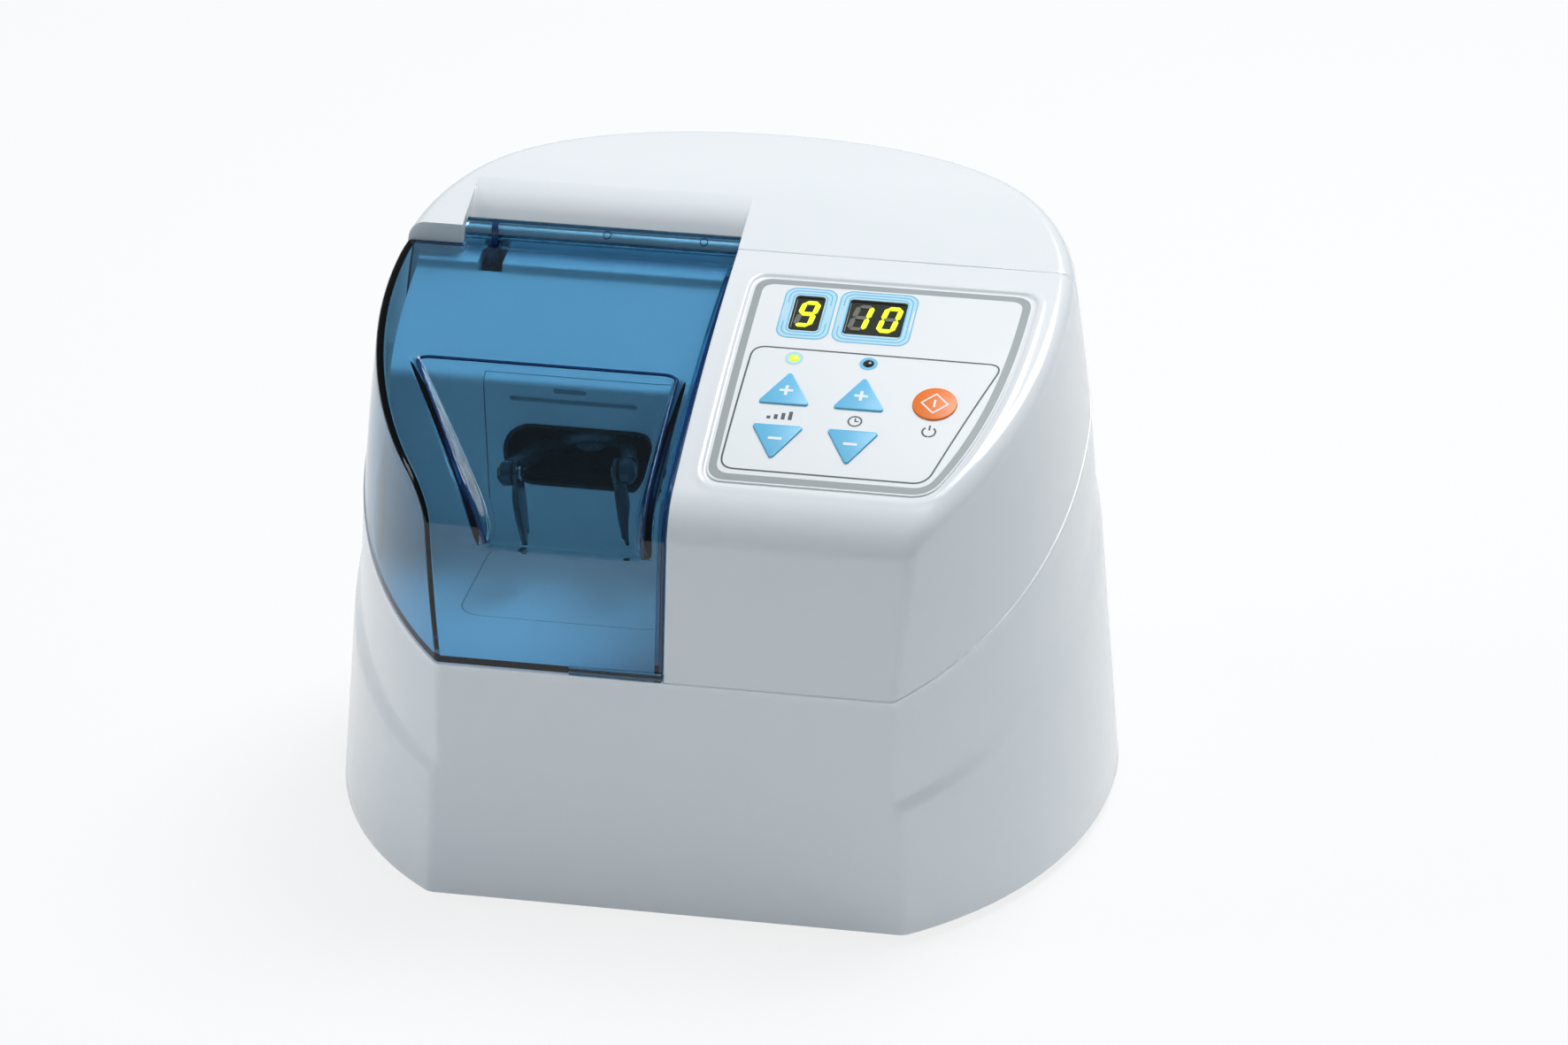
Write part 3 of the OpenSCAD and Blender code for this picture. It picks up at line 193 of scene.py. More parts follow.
def addGrid(shell, grid, wrapRows=False, wrapCols=False, split=False):
    grid = np.asarray(grid, float)
    rows, cols = grid.shape[:2]
    start = addPoints(shell, grid)
    i = np.arange(rows if wrapRows else rows - 1)
    j = np.arange(cols if wrapCols else cols - 1)
    i, j = (v.ravel() for v in np.meshgrid(i, j, indexing="ij"))
    i2, j2 = (i + 1) % rows, (j + 1) % cols
    quads = np.stack([i * cols + j, i * cols + j2, i2 * cols + j2, i2 * cols + j], 1) + start
    if split:  # the short diagonal of slanted quads
        quads = np.concatenate([quads[:, [0, 1, 3]], quads[:, [1, 2, 3]]])
    shell["faces"] += quads.tolist()


def addRod(shell, rings):
    # Rings joined along their length and closed at both ends.
    addGrid(shell, rings, wrapCols=True)
    for ring, order in ((rings[0], -1), (rings[-1], 1)):
        start = addPoints(shell, ring)
        shell["faces"].append([start + k for k in range(len(ring))][::order])


def sweepFrame(path, up):
    tangent = unit(np.gradient(path, axis=0))
    side = unit(np.cross(tangent, np.array(up, float)))
    return side, np.cross(side, tangent)


def addTube(shell, path, sizes, place=np.asarray, around=18, square=2.0, up=(0, 0, 1)):
    # A swept oval: sizes gives the half width and half height at each point.
    path = np.asarray(path, float)
    side, lift = sweepFrame(path, up)
    a = np.arange(around) * 2 * math.pi / around
    c, d = (np.sign(v) * np.abs(v) ** (2 / square) for v in (np.cos(a), np.sin(a)))
    addRod(shell, place(np.array([
        path[k] + np.outer(c * sizes[k][0], side[k]) + np.outer(d * sizes[k][1], lift[k])
        for k in range(len(path))])))


def curvePath(points, steps=24):
    # A smooth curve through control points of one Bezier run.
    points = np.asarray(points, float)
    t = np.linspace(0, 1, steps)[:, None]
    n = len(points) - 1
    return sum(math.comb(n, k) * (1 - t) ** (n - k) * t ** k * points[k] for k in range(n + 1))


def insideLoop(points, loop):
    x, y = points[:, 0][:, None], points[:, 1][:, None]
    a, b = loop, np.roll(loop, -1, axis=0)
    crosses = (a[:, 1] > y) != (b[:, 1] > y)
    rise = np.where(b[:, 1] == a[:, 1], 1e-12, b[:, 1] - a[:, 1])
    at = (b[:, 0] - a[:, 0]) * (y - a[:, 1]) / rise + a[:, 0]
    return (np.sum(crosses & (x < at), axis=1) % 2) == 1


def loopDistance(points, loop):
    a, b = loop, np.roll(loop, -1, axis=0)
    along = b - a
    length = np.maximum(np.sum(along ** 2, 1), 1e-12)
    rel = points[:, None, :] - a[None]
    t = np.clip(np.sum(rel * along, -1) / length, 0, 1)
    gap = np.linalg.norm(rel - t[..., None] * along, axis=-1).min(1)
    return np.where(insideLoop(points, loop), -gap, gap)


def addSheet(shell, outline, holes, mapping, layers=(0.0, 1.0), step=0.0):
    # A flat outline with holes, carried through mapping(points, layer).
    loops = [np.asarray(outline, float)] + [np.asarray(h, float) for h in holes]
    points, edges = [], []
    for loop in loops:
        start = len(points)
        points += loop.tolist()
        edges += [(start + k, start + (k + 1) % len(loop)) for k in range(len(loop))]
    if step > 0:
        low, high = loops[0].min(0), loops[0].max(0)
        gx, gy = np.meshgrid(np.arange(low[0] + step / 2, high[0], step),
                             np.arange(low[1] + step / 2, high[1], step))
        extra = np.stack([gx.ravel(), gy.ravel()], 1)
        keep = loopDistance(extra, loops[0]) < -step * 0.3
        for hole in loops[1:]:
            keep &= loopDistance(extra, hole) > step * 0.3
        points += extra[keep].tolist()
    result = delaunay_2d_cdt([Vector(p) for p in points], edges, [], 0, 1e-6)
    flat = np.array([tuple(v) for v in result[0]])
    tris = np.array([f for f in result[2] if len(f) == 3])
    middle = flat[tris].mean(1)
    keep = insideLoop(middle, loops[0])
    for hole in loops[1:]:
        keep &= ~insideLoop(middle, hole)
    tris = tris[keep]
    used, inverse = np.unique(tris, return_inverse=True)
    flat, tris = flat[used], inverse.reshape(tris.shape)
    edgeUse = {}
    for tri in tris.tolist():
        for k in range(3):
            pair = (tri[k], tri[(k + 1) % 3])
            edgeUse[pair] = edgeUse.get(pair, 0) + 1
    rim = [pair for pair in edgeUse if (pair[1], pair[0]) not in edgeUse]
    starts = [addPoints(shell, mapping(flat, layer)) for layer in layers]
    shell["faces"] += (tris[:, ::-1] + starts[0]).tolist()
    shell["faces"] += (tris + starts[-1]).tolist()
    for low, high in zip(starts[:-1], starts[1:]):
        shell["faces"] += [[a + low, b + low, b + high, a + high] for a, b in rim]


def extrude(axis, start, end):
    # Carries a flat outline along x, y or z.
    def mapping(points, layer):
        return np.insert(points, "xyz".index(axis), start + (end - start) * layer, axis=1)
    return mapping


def roundedLoop(corners, steps=6):
    # corners is a list of (x, y, leg); each is cut by a curve of that leg.
    out = []
    count = len(corners)
    for k in range(count):
        point = np.array(corners[k][:2], float)
        before = np.array(corners[k - 1][:2], float) - point
        after = np.array(corners[(k + 1) % count][:2], float) - point
        leg = min(corners[k][2], np.linalg.norm(before) * 0.49, np.linalg.norm(after) * 0.49)
        if leg < 1e-6:
            out.append(point)
            continue
        first = point + before / np.linalg.norm(before) * leg
        last = point + after / np.linalg.norm(after) * leg
        for s in np.linspace(0, 1, steps + 1):
            out.append(bend(first, point, last, s))
    return np.array(out)


def loopAt(y, z, corners):
    # A rounded outline whose corners are given from the point (y, z).
    return roundedLoop([(y + a, z + b, leg) for a, b, leg in corners])


def roundRect(cx, cy, w, h, r, steps=7):
    out = []
    for k, (sx, sy) in enumerate([(1, 1), (-1, 1), (-1, -1), (1, -1)]):
        for a in np.linspace(0, math.pi / 2, steps + 1) + k * math.pi / 2:
            out.append((cx + sx * (w / 2 - r) + r * math.cos(a),
                        cy + sy * (h / 2 - r) + r * math.sin(a)))
    return np.array(out)


def circleLoop(cx, cy, r, steps=36):
    a = np.arange(steps) * 2 * math.pi / steps
    return np.stack([cx + r * np.cos(a), cy + r * np.sin(a)], 1)


def denseLoop(loop, pitch=3):
    out = []
    for a, b in zip(loop, np.roll(loop, -1, axis=0)):
        steps = max(1, int(np.linalg.norm(b - a) / pitch))
        out += [a + (b - a) * t / steps for t in range(steps)]
    return np.array(out)


def growLoop(loop, grow):
    # Moves each point of a counter-clockwise loop outwards.
    after, before = np.roll(loop, -1, axis=0) - loop, loop - np.roll(loop, 1, axis=0)
    tangent = unit(unit(after) + unit(before))
    return loop + grow * np.stack([tangent[:, 1], -tangent[:, 0]], 1)


def buildMesh(name, shell):
    mesh = bpy.data.meshes.new(name)
    mesh.from_pydata(toMetres(np.concatenate(shell["points"])).tolist(), [], shell["faces"])
    bm = bmesh.new()
    bm.from_mesh(mesh)
    bmesh.ops.remove_doubles(bm, verts=bm.verts, dist=weldGap["points"])
    bmesh.ops.dissolve_degenerate(bm, edges=bm.edges, dist=weldGap["edges"])
    bmesh.ops.recalc_face_normals(bm, faces=bm.faces)
    bm.to_mesh(mesh)
    bm.free()
    return mesh


def sheetMesh(name, outline, mapping, holes=(), layers=(0.0, 1.0)):
    shell = newShell()
    addSheet(shell, outline, holes, mapping, layers)
    return buildMesh(name, shell)


def makePiece(name, shell, body, slot, replaced=(), look=None, sharp=32.0):
    mesh = shell if isinstance(shell, bpy.types.Mesh) else buildMesh(name, shell)
    mesh.name = name
    piece = bpy.data.objects.new(name, mesh)
    scene.collection.objects.link(piece)
    mesh.materials.clear()
    mesh.materials.append(look or looks[slot])
    mesh.polygons.foreach_set("material_index", [0] * len(mesh.polygons))
    mesh.shade_smooth()
    mesh.set_sharp_from_angle(angle=math.radians(sharp))
    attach(piece, body)
    if replaced:
        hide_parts(*replaced)
    return piece


def combine(base, cutters, operation="DIFFERENCE"):
    # Cuts or joins whole closed meshes and gives the resulting mesh.
    target = bpy.data.objects.new("target", base)
    scene.collection.objects.link(target)
    helpers = []
    for mesh in cutters:
        helper = bpy.data.objects.new("helper", mesh)
        scene.collection.objects.link(helper)
        change = target.modifiers.new("change", "BOOLEAN")
        change.operation = operation
        change.solver = "EXACT"
        change.object = helper
        helpers.append(helper)
    graph = bpy.context.evaluated_depsgraph_get()
    result = bpy.data.meshes.new_from_object(target.evaluated_get(graph))
    for item in helpers + [target]:
        bpy.data.objects.remove(item)
    return result


# Camera
cameraView = dict(
    location=(0.318293, -1.595418, 0.867100), lens=141.4013,
    right=(0.982602, 0.185716, -0.000612), up=(-0.08034, 0.428036, 0.900184),
    forward=(-0.16744, 0.884474, -0.43551),
)


def addCamera():
    data = bpy.data.cameras.new("camera")
    data.sensor_fit = "HORIZONTAL"
    data.sensor_width = 36
    data.lens = cameraView["lens"]
    data.clip_start, data.clip_end = 0.05, 50
    camera = bpy.data.objects.new("camera", data)
    axes = Matrix((cameraView["right"], cameraView["up"],
                   tuple(-v for v in cameraView["forward"]))).transposed()
    camera.matrix_world = Matrix.Translation(cameraView["location"]) @ axes.to_4x4()
    scene.collection.objects.link(camera)
    scene.camera = camera


addCamera()


# Materials
def addNode(tree, kind, inputs=None, operation=None):
    # A new node; each input is linked to a socket or set to a value.
    node = tree.nodes.new(kind)
    if operation:
        node.operation = operation
    for key, value in (inputs or {}).items():
        if isinstance(value, bpy.types.NodeSocket):
            tree.links.new(value, node.inputs[key])
        else:
            node.inputs[key].default_value = value
    return node


def mathOf(tree, operation, *values):
    return addNode(tree, "ShaderNodeMath", dict(enumerate(values)), operation).outputs[0]


def makeGrainGroup():
    group = bpy.data.node_groups.new("surfaceGrain", "ShaderNodeTree")
    face = group.interface
    for name, kind, value in (("Colour", "NodeSocketColor", (0.8, 0.8, 0.8, 1)),
                              ("Tint", "NodeSocketFloat", 0.05),
                              ("Cloud Scale", "NodeSocketFloat", 40.0),
                              ("Grain Scale", "NodeSocketFloat", 900.0),
                              ("Rough Low", "NodeSocketFloat", 0.3),
                              ("Rough High", "NodeSocketFloat", 0.4),
                              ("Stretch", "NodeSocketVector", (1, 1, 1))):
        face.new_socket(name=name, in_out="INPUT", socket_type=kind).default_value = value
    for name, kind in (("Colour", "NodeSocketColor"), ("Roughness", "NodeSocketFloat"),
                       ("Height", "NodeSocketFloat")):
        face.new_socket(name=name, in_out="OUTPUT", socket_type=kind)
    source = group.nodes.new("NodeGroupInput").outputs
    place = addNode(group, "ShaderNodeTexCoord").outputs["Object"]
    place = addNode(group, "ShaderNodeMapping", {"Vector": place, "Scale": source["Stretch"]})
    cloud, grain = (addNode(group, "ShaderNodeTexNoise", {
        "Vector": place.outputs["Vector"], "Scale": source[scale], "Detail": detail,
        "Roughness": rough}).outputs["Fac"] for scale, detail, rough in (
            ("Cloud Scale", 4.0, 0.6), ("Grain Scale", 3.0, 0.55)))
    centred = mathOf(group, "MULTIPLY_ADD", cloud, 2.0, -1.0)
    amount = mathOf(group, "MULTIPLY_ADD", centred, source["Tint"], 1.0)
    scaled = addNode(group, "ShaderNodeVectorMath", {0: source["Colour"], "Scale": amount},
                     "SCALE")
    half = mathOf(group, "MULTIPLY", mathOf(group, "ADD", cloud, grain), 0.5)
    spread = addNode(group, "ShaderNodeMapRange", {
        "Value": half, "From Min": 0.3, "From Max": 0.7,
        "To Min": source["Rough Low"], "To Max": source["Rough High"]})
    addNode(group, "NodeGroupOutput", {"Colour": scaled.outputs["Vector"],
                                       "Roughness": spread.outputs["Result"], "Height": grain})
    return group


grainGroup = makeGrainGroup()


# The two scales are of the clouds in the tint and of the grain in the relief.
def makeMaterial(name, colour, rough, tint, cloud, grain, stretch=(1, 1, 1), bump=0.00002,
                 strength=0.25, metallic=0.0, coat=0.0, glow=None):
    material = bpy.data.materials.new(name)
    material.use_nodes = True
    tree = material.node_tree
    effect = tree.nodes.new("ShaderNodeGroup")
    effect.node_tree = grainGroup
    for key, value in (("Colour", (*colour, 1)), ("Tint", tint), ("Cloud Scale", cloud),
                       ("Grain Scale", grain), ("Rough Low", rough[0]),
                       ("Rough High", rough[1]), ("Stretch", stretch)):
        effect.inputs[key].default_value = value
    effect = effect.outputs
    relief = addNode(tree, "ShaderNodeBump", {"Strength": strength, "Distance": bump,
                                              "Height": effect["Height"]})
    inputs = tree.nodes["Principled BSDF"].inputs
    for key, output in (("Base Color", effect["Colour"]), ("Roughness", effect["Roughness"]),
                        ("Normal", relief.outputs["Normal"])):
        tree.links.new(output, inputs[key])
    inputs["Metallic"].default_value = metallic
    inputs["Coat Weight"].default_value = coat
    inputs["Coat Roughness"].default_value = 0.08
    if glow:
        tree.links.new(effect["Colour"], inputs["Emission Color"])
        inputs["Emission Strength"].default_value = glow
    return material


# Clear blue plastic: its colour is in its thickness, and light passes in; its edge colour is
# painted shade for the dark lines at folds and rims.
hoodLook = dict(colour=(0.08, 0.49, 0.66), density=340.0, shade=(0.58, 0.82, 0.93),
                rough=(0.02, 0.05), edge=(0.007, 0.038, 0.14))


def makeHoodMaterial():
    material = makeMaterial("blueClearPlastic", (0.86, 0.93, 0.98), hoodLook["rough"],
                            0.02, 25.0, 300.0, bump=0.000004, strength=0.1)
    tree = material.node_tree
    shader, end = tree.nodes["Principled BSDF"], tree.nodes["Material Output"]
    shader.inputs["Transmission Weight"].default_value = 1.0
    shader.inputs["IOR"].default_value = 1.49
    clear = addNode(tree, "ShaderNodeBsdfTransparent", {"Color": (*hoodLook["shade"], 1)})
    mix = addNode(tree, "ShaderNodeMixShader", {
        "Fac": addNode(tree, "ShaderNodeLightPath").outputs["Is Shadow Ray"],
        1: shader.outputs["BSDF"], 2: clear.outputs["BSDF"]})
    absorb = addNode(tree, "ShaderNodeVolumeAbsorption", {
        "Color": (*hoodLook["colour"], 1), "Density": hoodLook["density"]})
    tree.links.new(mix.outputs["Shader"], end.inputs["Surface"])
    tree.links.new(absorb.outputs["Volume"], end.inputs["Volume"])
    return material


# Painted shade: deep blue for the rods that stand in for the dark folds and rims of the clear
# hood.
hoodEdgeShadeLook = makeMaterial("paintedEdgeShadeAndGateMarks", hoodLook["edge"], (0.1, 0.2), 0.15, 60.0, 600.0,
                            bump=0.00001)
# Slot: name, colour, roughness range, tint, cloud and grain scale, and the rest.
finishes = dict(
    white_shell=("glossWhitePlastic", (0.87, 0.885, 0.90), (0.16, 0.24), 0.008, 18.0, 1400.0,
                 dict(bump=0.000006, strength=0.12, coat=0.15)),
    white_chamber=("satinWhitePlastic", (0.85, 0.87, 0.885), (0.34, 0.46), 0.012, 30.0, 1800.0,
                   dict(strength=0.2)),
    panel_film=("printedFilm", (0.86, 0.875, 0.885), (0.28, 0.38), 0.008, 60.0, 2600.0,
                dict(strength=0.25)),
    key_blue=("skyBlueFilm", (0.155, 0.545, 0.83), (0.3, 0.42), 0.02, 120.0, 2600.0,
              dict(strength=0.3)),
    key_orange=("orangeFilm", (0.93, 0.20, 0.012), (0.3, 0.42), 0.02, 120.0, 2600.0,
                dict(strength=0.3)),
    display_dark=("smokedWindow", (0.035, 0.038, 0.028), (0.12, 0.2), 0.1, 90.0, 1500.0,
                  dict(strength=0.1, coat=0.4)),
    lamp=("lampLens", (0.50, 0.90, 0.06), (0.15, 0.25), 0.08, 400.0, 2000.0,
          dict(coat=0.3, glow=1.1)),
    rubber_black=("blackRubber", (0.022, 0.024, 0.026), (0.62, 0.8), 0.18, 120.0, 1600.0,
                  dict(bump=0.00006, strength=0.5)),
    rubber_spring=("isolatorRubber", (0.028, 0.028, 0.03), (0.6, 0.78), 0.15, 120.0, 1200.0,
                   dict(bump=0.00006, strength=0.5)),
    steel=("turnedSteel", (0.56, 0.57, 0.59), (0.2, 0.34), 0.06, 80.0, 600.0,
           dict(stretch=(0.3, 4, 4), bump=0.000015, strength=0.3, metallic=1.0)),
    steel_sheet=("zincSheet", (0.50, 0.53, 0.56), (0.32, 0.5), 0.14, 55.0, 700.0,
                 dict(bump=0.00001, metallic=0.85)),
    # Partly painted highlight: satin steel of the pin, made pale so that it also shows as the
    # light band along the hood's barrel.
    pin_steel=("satinPin", (0.74, 0.76, 0.78), (0.42, 0.55), 0.04, 60.0, 900.0,
               dict(metallic=0.85, bump=0.00001)),
    bearing_steel=("polishedSteel", (0.66, 0.67, 0.69), (0.08, 0.16), 0.04, 90.0, 900.0,
                   dict(metallic=1.0, bump=0.000005, strength=0.1)),
    cast_frame=("castAluminium", (0.50, 0.51, 0.52), (0.42, 0.6), 0.12, 60.0, 850.0,
                dict(bump=0.00012, strength=0.6, metallic=0.8)),
    motor_metal=("motorPaint", (0.34, 0.35, 0.37), (0.3, 0.45), 0.06, 50.0, 700.0,
                 dict(metallic=0.6)),
    magnet=("ferrite", (0.06, 0.06, 0.065), (0.55, 0.7), 0.2, 140.0, 900.0,
            dict(bump=0.00006, strength=0.5)),
    copper=("copperWire", (0.62, 0.25, 0.10), (0.25, 0.4), 0.12, 70.0, 1200.0,
            dict(stretch=(6, 1, 1), bump=0.0001, strength=0.7, metallic=0.9)),
    bronze=("sinteredBronze", (0.42, 0.27, 0.10), (0.38, 0.5), 0.12, 120.0, 1500.0,
            dict(bump=0.00004, metallic=0.9)),
    fork_dark=("darkCoatedFork", (0.06, 0.075, 0.09), (0.18, 0.3), 0.12, 80.0, 900.0,
               dict(bump=0.00003, strength=0.3, metallic=0.45, coat=0.3)),
    core_steel=("laminatedSteel", (0.22, 0.22, 0.23), (0.4, 0.6), 0.2, 60.0, 500.0,
                dict(stretch=(1, 1, 12), bump=0.0001, strength=0.6, metallic=0.7)),
    winding_tape=("windingTape", (0.70, 0.52, 0.12), (0.3, 0.42), 0.06, 80.0, 400.0,
                  dict(stretch=(1, 1, 5), bump=0.00008, strength=0.4)),
    board_green=("circuitBoard", (0.02, 0.20, 0.07), (0.26, 0.4), 0.2, 220.0, 1400.0,
                 dict(bump=0.00003, coat=0.3)),
    component_dark=("componentBody", (0.03, 0.032, 0.035), (0.35, 0.5), 0.2, 160.0, 1300.0,
                    dict(bump=0.00004)),
    cable_grey=("ribbonInsulation", (0.42, 0.43, 0.45), (0.4, 0.55), 0.1, 90.0, 350.0,
                dict(stretch=(8, 1, 1), bump=0.00015, strength=0.6)),
    black_plastic=("mouldedBlack", (0.018, 0.019, 0.021), (0.32, 0.48), 0.15, 70.0, 1500.0,
                   dict(bump=0.00004, strength=0.35)),
    red_rocker=("redRocker", (0.60, 0.03, 0.02), (0.2, 0.32), 0.06, 60.0, 1500.0, dict(coat=0.3)))
looks = {slot: makeMaterial(*values, **rest) for slot, (*values, rest) in finishes.items()}
looks["blue_hood"] = makeHoodMaterial()


def makeInk(name, colour, tint=0.03):
    return makeMaterial(name, colour, (0.3, 0.42), tint, 90.0, 2600.0)


printLooks = {
    "grey": makeInk("greyInk", (0.36, 0.39, 0.40)),
    "dark": makeInk("darkInk", (0.075, 0.095, 0.11), 0.06),
    "sky": makeInk("skyInk", (0.17, 0.55, 0.82)),
    # Pale sky print, also used as painted light: the glow round the lit lamp.
    "paleInkAndLampGlow": makeInk("paleSkyInkAndLampGlow", (0.50, 0.76, 0.90)),
    "white": makeInk("whiteInk", (0.88, 0.90, 0.91), 0.02),
    "lit": makeMaterial("litSegment", (0.80, 0.93, 0.02), (0.2, 0.3), 0.05, 500.0, 2600.0,
                        glow=1.0),
    "unlit": makeMaterial("unlitSegment", (0.16, 0.165, 0.14), (0.25, 0.35), 0.06, 300.0, 2600.0),
}
print("materials ready")


# Lower case: one ring of wall from the lower rim to the parting line.
lowerSize = dict(rimRound=0.45, footRound=0.9, side=168, corner=7, flat=22,
                 recessWidth=70.0, recessHeight=30.0, recessY=79.5, recessZ=32.0,
                 inletX=-16.0, switchX=20.0, inletHole=(27.6, 20.1), switchHole=(13.6, 19.8),
                 padDepth=6, pocketDepth=20, padInset=0.5, padRows=(4, 62, 12),
                 footRows=((0, 1), (0.12, 0.5), (0.45, 0.16), (1, 0)), stepRows=13,
                 belowStep=(0.12, 0.3, 0.5, 0.7, 0.86, 0.95, 1),
                 aboveStep=(0.06, 0.15, 0.3, 0.5, 0.7, 0.9),
                 rimRows=((2.4, 0), (1.6, -0.3), (0.95, -0.72), (0.4, -0.6), (0, 0.3)),
                 innerRows=((2, 1), (2, 0.5), (2, 0), (1, 0.7), (1, 0.35), (1, 0), (0, 0.5),
                            (0, 0)))


def lowerRow(stations, start, end, share, lift, inset):
    # A ring between two of the heights rim, step's foot, step's top and parting line.
    y = planPoints(stations, 0.0, lowHalf(0.0), inset)[:, 1]
    for _ in range(3):
        low, high = stepAt(y, "stepLow"), stepAt(y, "stepHigh")
        heights = (0 * y, low, high, partZ(y))
        z = heights[start] * (1 - share) + heights[end] * share + lift
        rise = (z - low) / (high - low)
        weight = 0.25 * np.clip(rise, 0, 1) + 0.75 * smooth(rise)
        half = np.where(z < low, lowHalf(z), np.where(z > high, upHalf(z),
                        lowHalf(low) * (1 - weight) + upHalf(high) * weight))
        points = planPoints(stations, z, half, inset)
        y = points[:, 1]
    return points


def buildLowerCase():
    s = lowerSize
    stations = planStations(s["side"], s["corner"], s["flat"])
    r, f, wall = s["rimRound"], s["footRound"], caseSize["wall"]
    rows = [(0, 0, 0, f * lift, f * inset) for lift, inset in s["footRows"]]
    rows += [(0, 1, t, 0, 0) for t in s["belowStep"]]
    rows += [(1, 2, t, 0, 0) for t in np.linspace(0, 1, s["stepRows"])[1:]]
    rows += [(2, 3, t, 0, 0) for t in s["aboveStep"]]
    rows += [(3, 3, 0, -r * down, r * inset) for down, inset in s["rimRows"]]
    rows += [(start, start + 1, t, 0, wall) for start, t in s["innerRows"]]
    shell = newShell()
    addGrid(shell, [lowerRow(stations, *row) for row in rows], wrapRows=True, wrapCols=True)
    mesh = buildMesh("lowerCase", shell)

    w, h, z, y = s["recessWidth"], s["recessHeight"], s["recessZ"], s["recessY"]
    pad = sheetMesh("pad", roundRect(0, z, w + 2 * wall, h + 2 * wall, 4),
                    extrude("y", y - wall, y + s["padDepth"]))
    pocket = sheetMesh("pocket", roundRect(0, z, w, h, 2), extrude("y", y, y + s["pocketDepth"]))
    holes = newShell()
    for x, size in ((s["inletX"], s["inletHole"]), (s["switchX"], s["switchHole"])):
        addSheet(holes, roundRect(x, z, *size, 0.6), [], extrude("y", y - 2 * wall, y + 1))
    body = newShell()
    addRod(body, [lowerRow(stations, 0, 0, 0, level, s["padInset"])
                  for level in np.linspace(*s["padRows"])])
    backing = combine(pad, [buildMesh("body", body)], "INTERSECT")
    cut = combine(combine(mesh, [backing], "UNION"), [pocket, buildMesh("holes", holes)])
    makePiece("lowerCase", cut, "case", "white_shell", ["lower_case"])


buildLowerCase()
print("lower case built")


# Sloping top, its bend and front, as a line in the y and z plane.
def topZ(y):
    d = slopeSize["seamY"] - y
    return slopeSize["seamZ"] - slopeSize["start"] * d - slopeSize["gain"] * d * d


def topSlope(y):
    return slopeSize["start"] + 2 * slopeSize["gain"] * (slopeSize["seamY"] - y)


def profileLine(rows, seam, sag, drop, gap, bendRows, footRows):
    # The outer line sunk by drop, and its normals; rows are the y of the sloping top.
    y0, span = slopeSize["bendY"], slopeSize["seamY"] - slopeSize["bendY"]

    def slopeAt(y):
        return topSlope(y) - 2 * sag * np.maximum(y - y0, 0) / span ** 2

    start = seam
    for _ in range(5):
        s = slopeAt(start)
        start = seam - drop * s / math.sqrt(1 + s * s)
    y = y0 + (np.asarray(rows, float) - y0) * (start - y0) / (rows[0] - y0)
    s = slopeAt(y)
    size = np.sqrt(1 + s * s)
    normal = np.stack([-s / size, 1 / size], 1)
    line = np.stack([y, topZ(y) - sag * (np.maximum(y - y0, 0) / span) ** 2], 1)
    line = line - drop * normal
    s0 = topSlope(y0)
    r = slopeSize["bendRadius"]
    centre = np.array([y0, topZ(y0)]) - r * np.array([-s0, 1]) / math.sqrt(1 + s0 * s0)
    end = math.radians(180 - slopeSize["rise"])
    angle = np.linspace(math.pi / 2 + math.atan(s0), end, bendRows + 1)[1:]
    turned = np.stack([np.cos(angle), np.sin(angle)], 1)
    bend = centre + (r - drop) * turned
    lean = math.tan(math.radians(slopeSize["rise"]))
    k = caseSize["partSlope"]
    by, bz = bend[-1]
    footZ = caseSize["partFrontZ"] + gap + k * (by - bz * lean - caseSize["partFrontY"])
    footZ /= 1 - k * lean
    foot = np.array([by - (bz - footZ) * lean, footZ])
    steps = np.linspace(0, 1, footRows + 1)[1:, None]
    front = bend[-1] + (foot - bend[-1]) * steps
    return (np.concatenate([line, bend, front]),
            np.concatenate([normal, turned, np.tile(turned[-1], (footRows, 1))]))


def turnBetween(out, top, count):
    # Directions that turn evenly from out to top.
    angle = np.arccos(np.clip(np.sum(top * out, 1), -1, 1))[:, None]
    for t in np.linspace(0, 1, count):
        yield (np.sin((1 - t) * angle) * out + np.sin(t * angle) * top) / np.sin(angle)


def wallAndFillet(line, normal, radius, inset, seam, gap, wallRows, arcRows):
    # Side wall up from the parting line, then its rounded upper edge.
    centre = line - radius[:, None] * normal
    touch = centre.copy()
    for _ in range(12):
        out = sideNormal(touch[:, 0], touch[:, 1], inset)
        touch = centre + radius[:, None] * out[:, 1:]
    centreX = sideX(touch[:, 0], touch[:, 1], inset) - radius * out[:, 0]
    top = atX(0.0, normal)
    base = atX(centreX, centre)
    touch = np.stack([np.minimum(touch[:, 0], seam), touch[:, 1]], 1)
    columns = []
    for t in np.linspace(0, 1, wallRows + 1)[:-1]:
        z = partZ(touch[:, 0]) + gap
        z = np.minimum(z, touch[:, 1]) * (1 - t) + touch[:, 1] * t
        columns.append(np.stack([sideX(touch[:, 0], z, inset), touch[:, 0], z], 1))
    for ray in turnBetween(out, top, arcRows + 1):
        point = base + radius[:, None] * ray
        point[:, 1] = np.minimum(point[:, 1], seam)
        columns.append(point)
    return columns, centreX


def restOnParting(points, gap):
    points = np.array(points)
    points[..., 2] = np.maximum(points[..., 2], partZ(points[..., 1]) + gap)
    return points


def joinSkins(shell, outer, inner, split=False):
    # Two skins of the same size, closed along their four edges.
    addGrid(shell, outer, split=split)
    addGrid(shell, inner, split=split)
    for pair in ((outer[0], inner[0]), (outer[-1], inner[-1]),
                 (outer[:, 0], inner[:, 0]), (outer[:, -1], inner[:, -1])):
        addGrid(shell, pair)


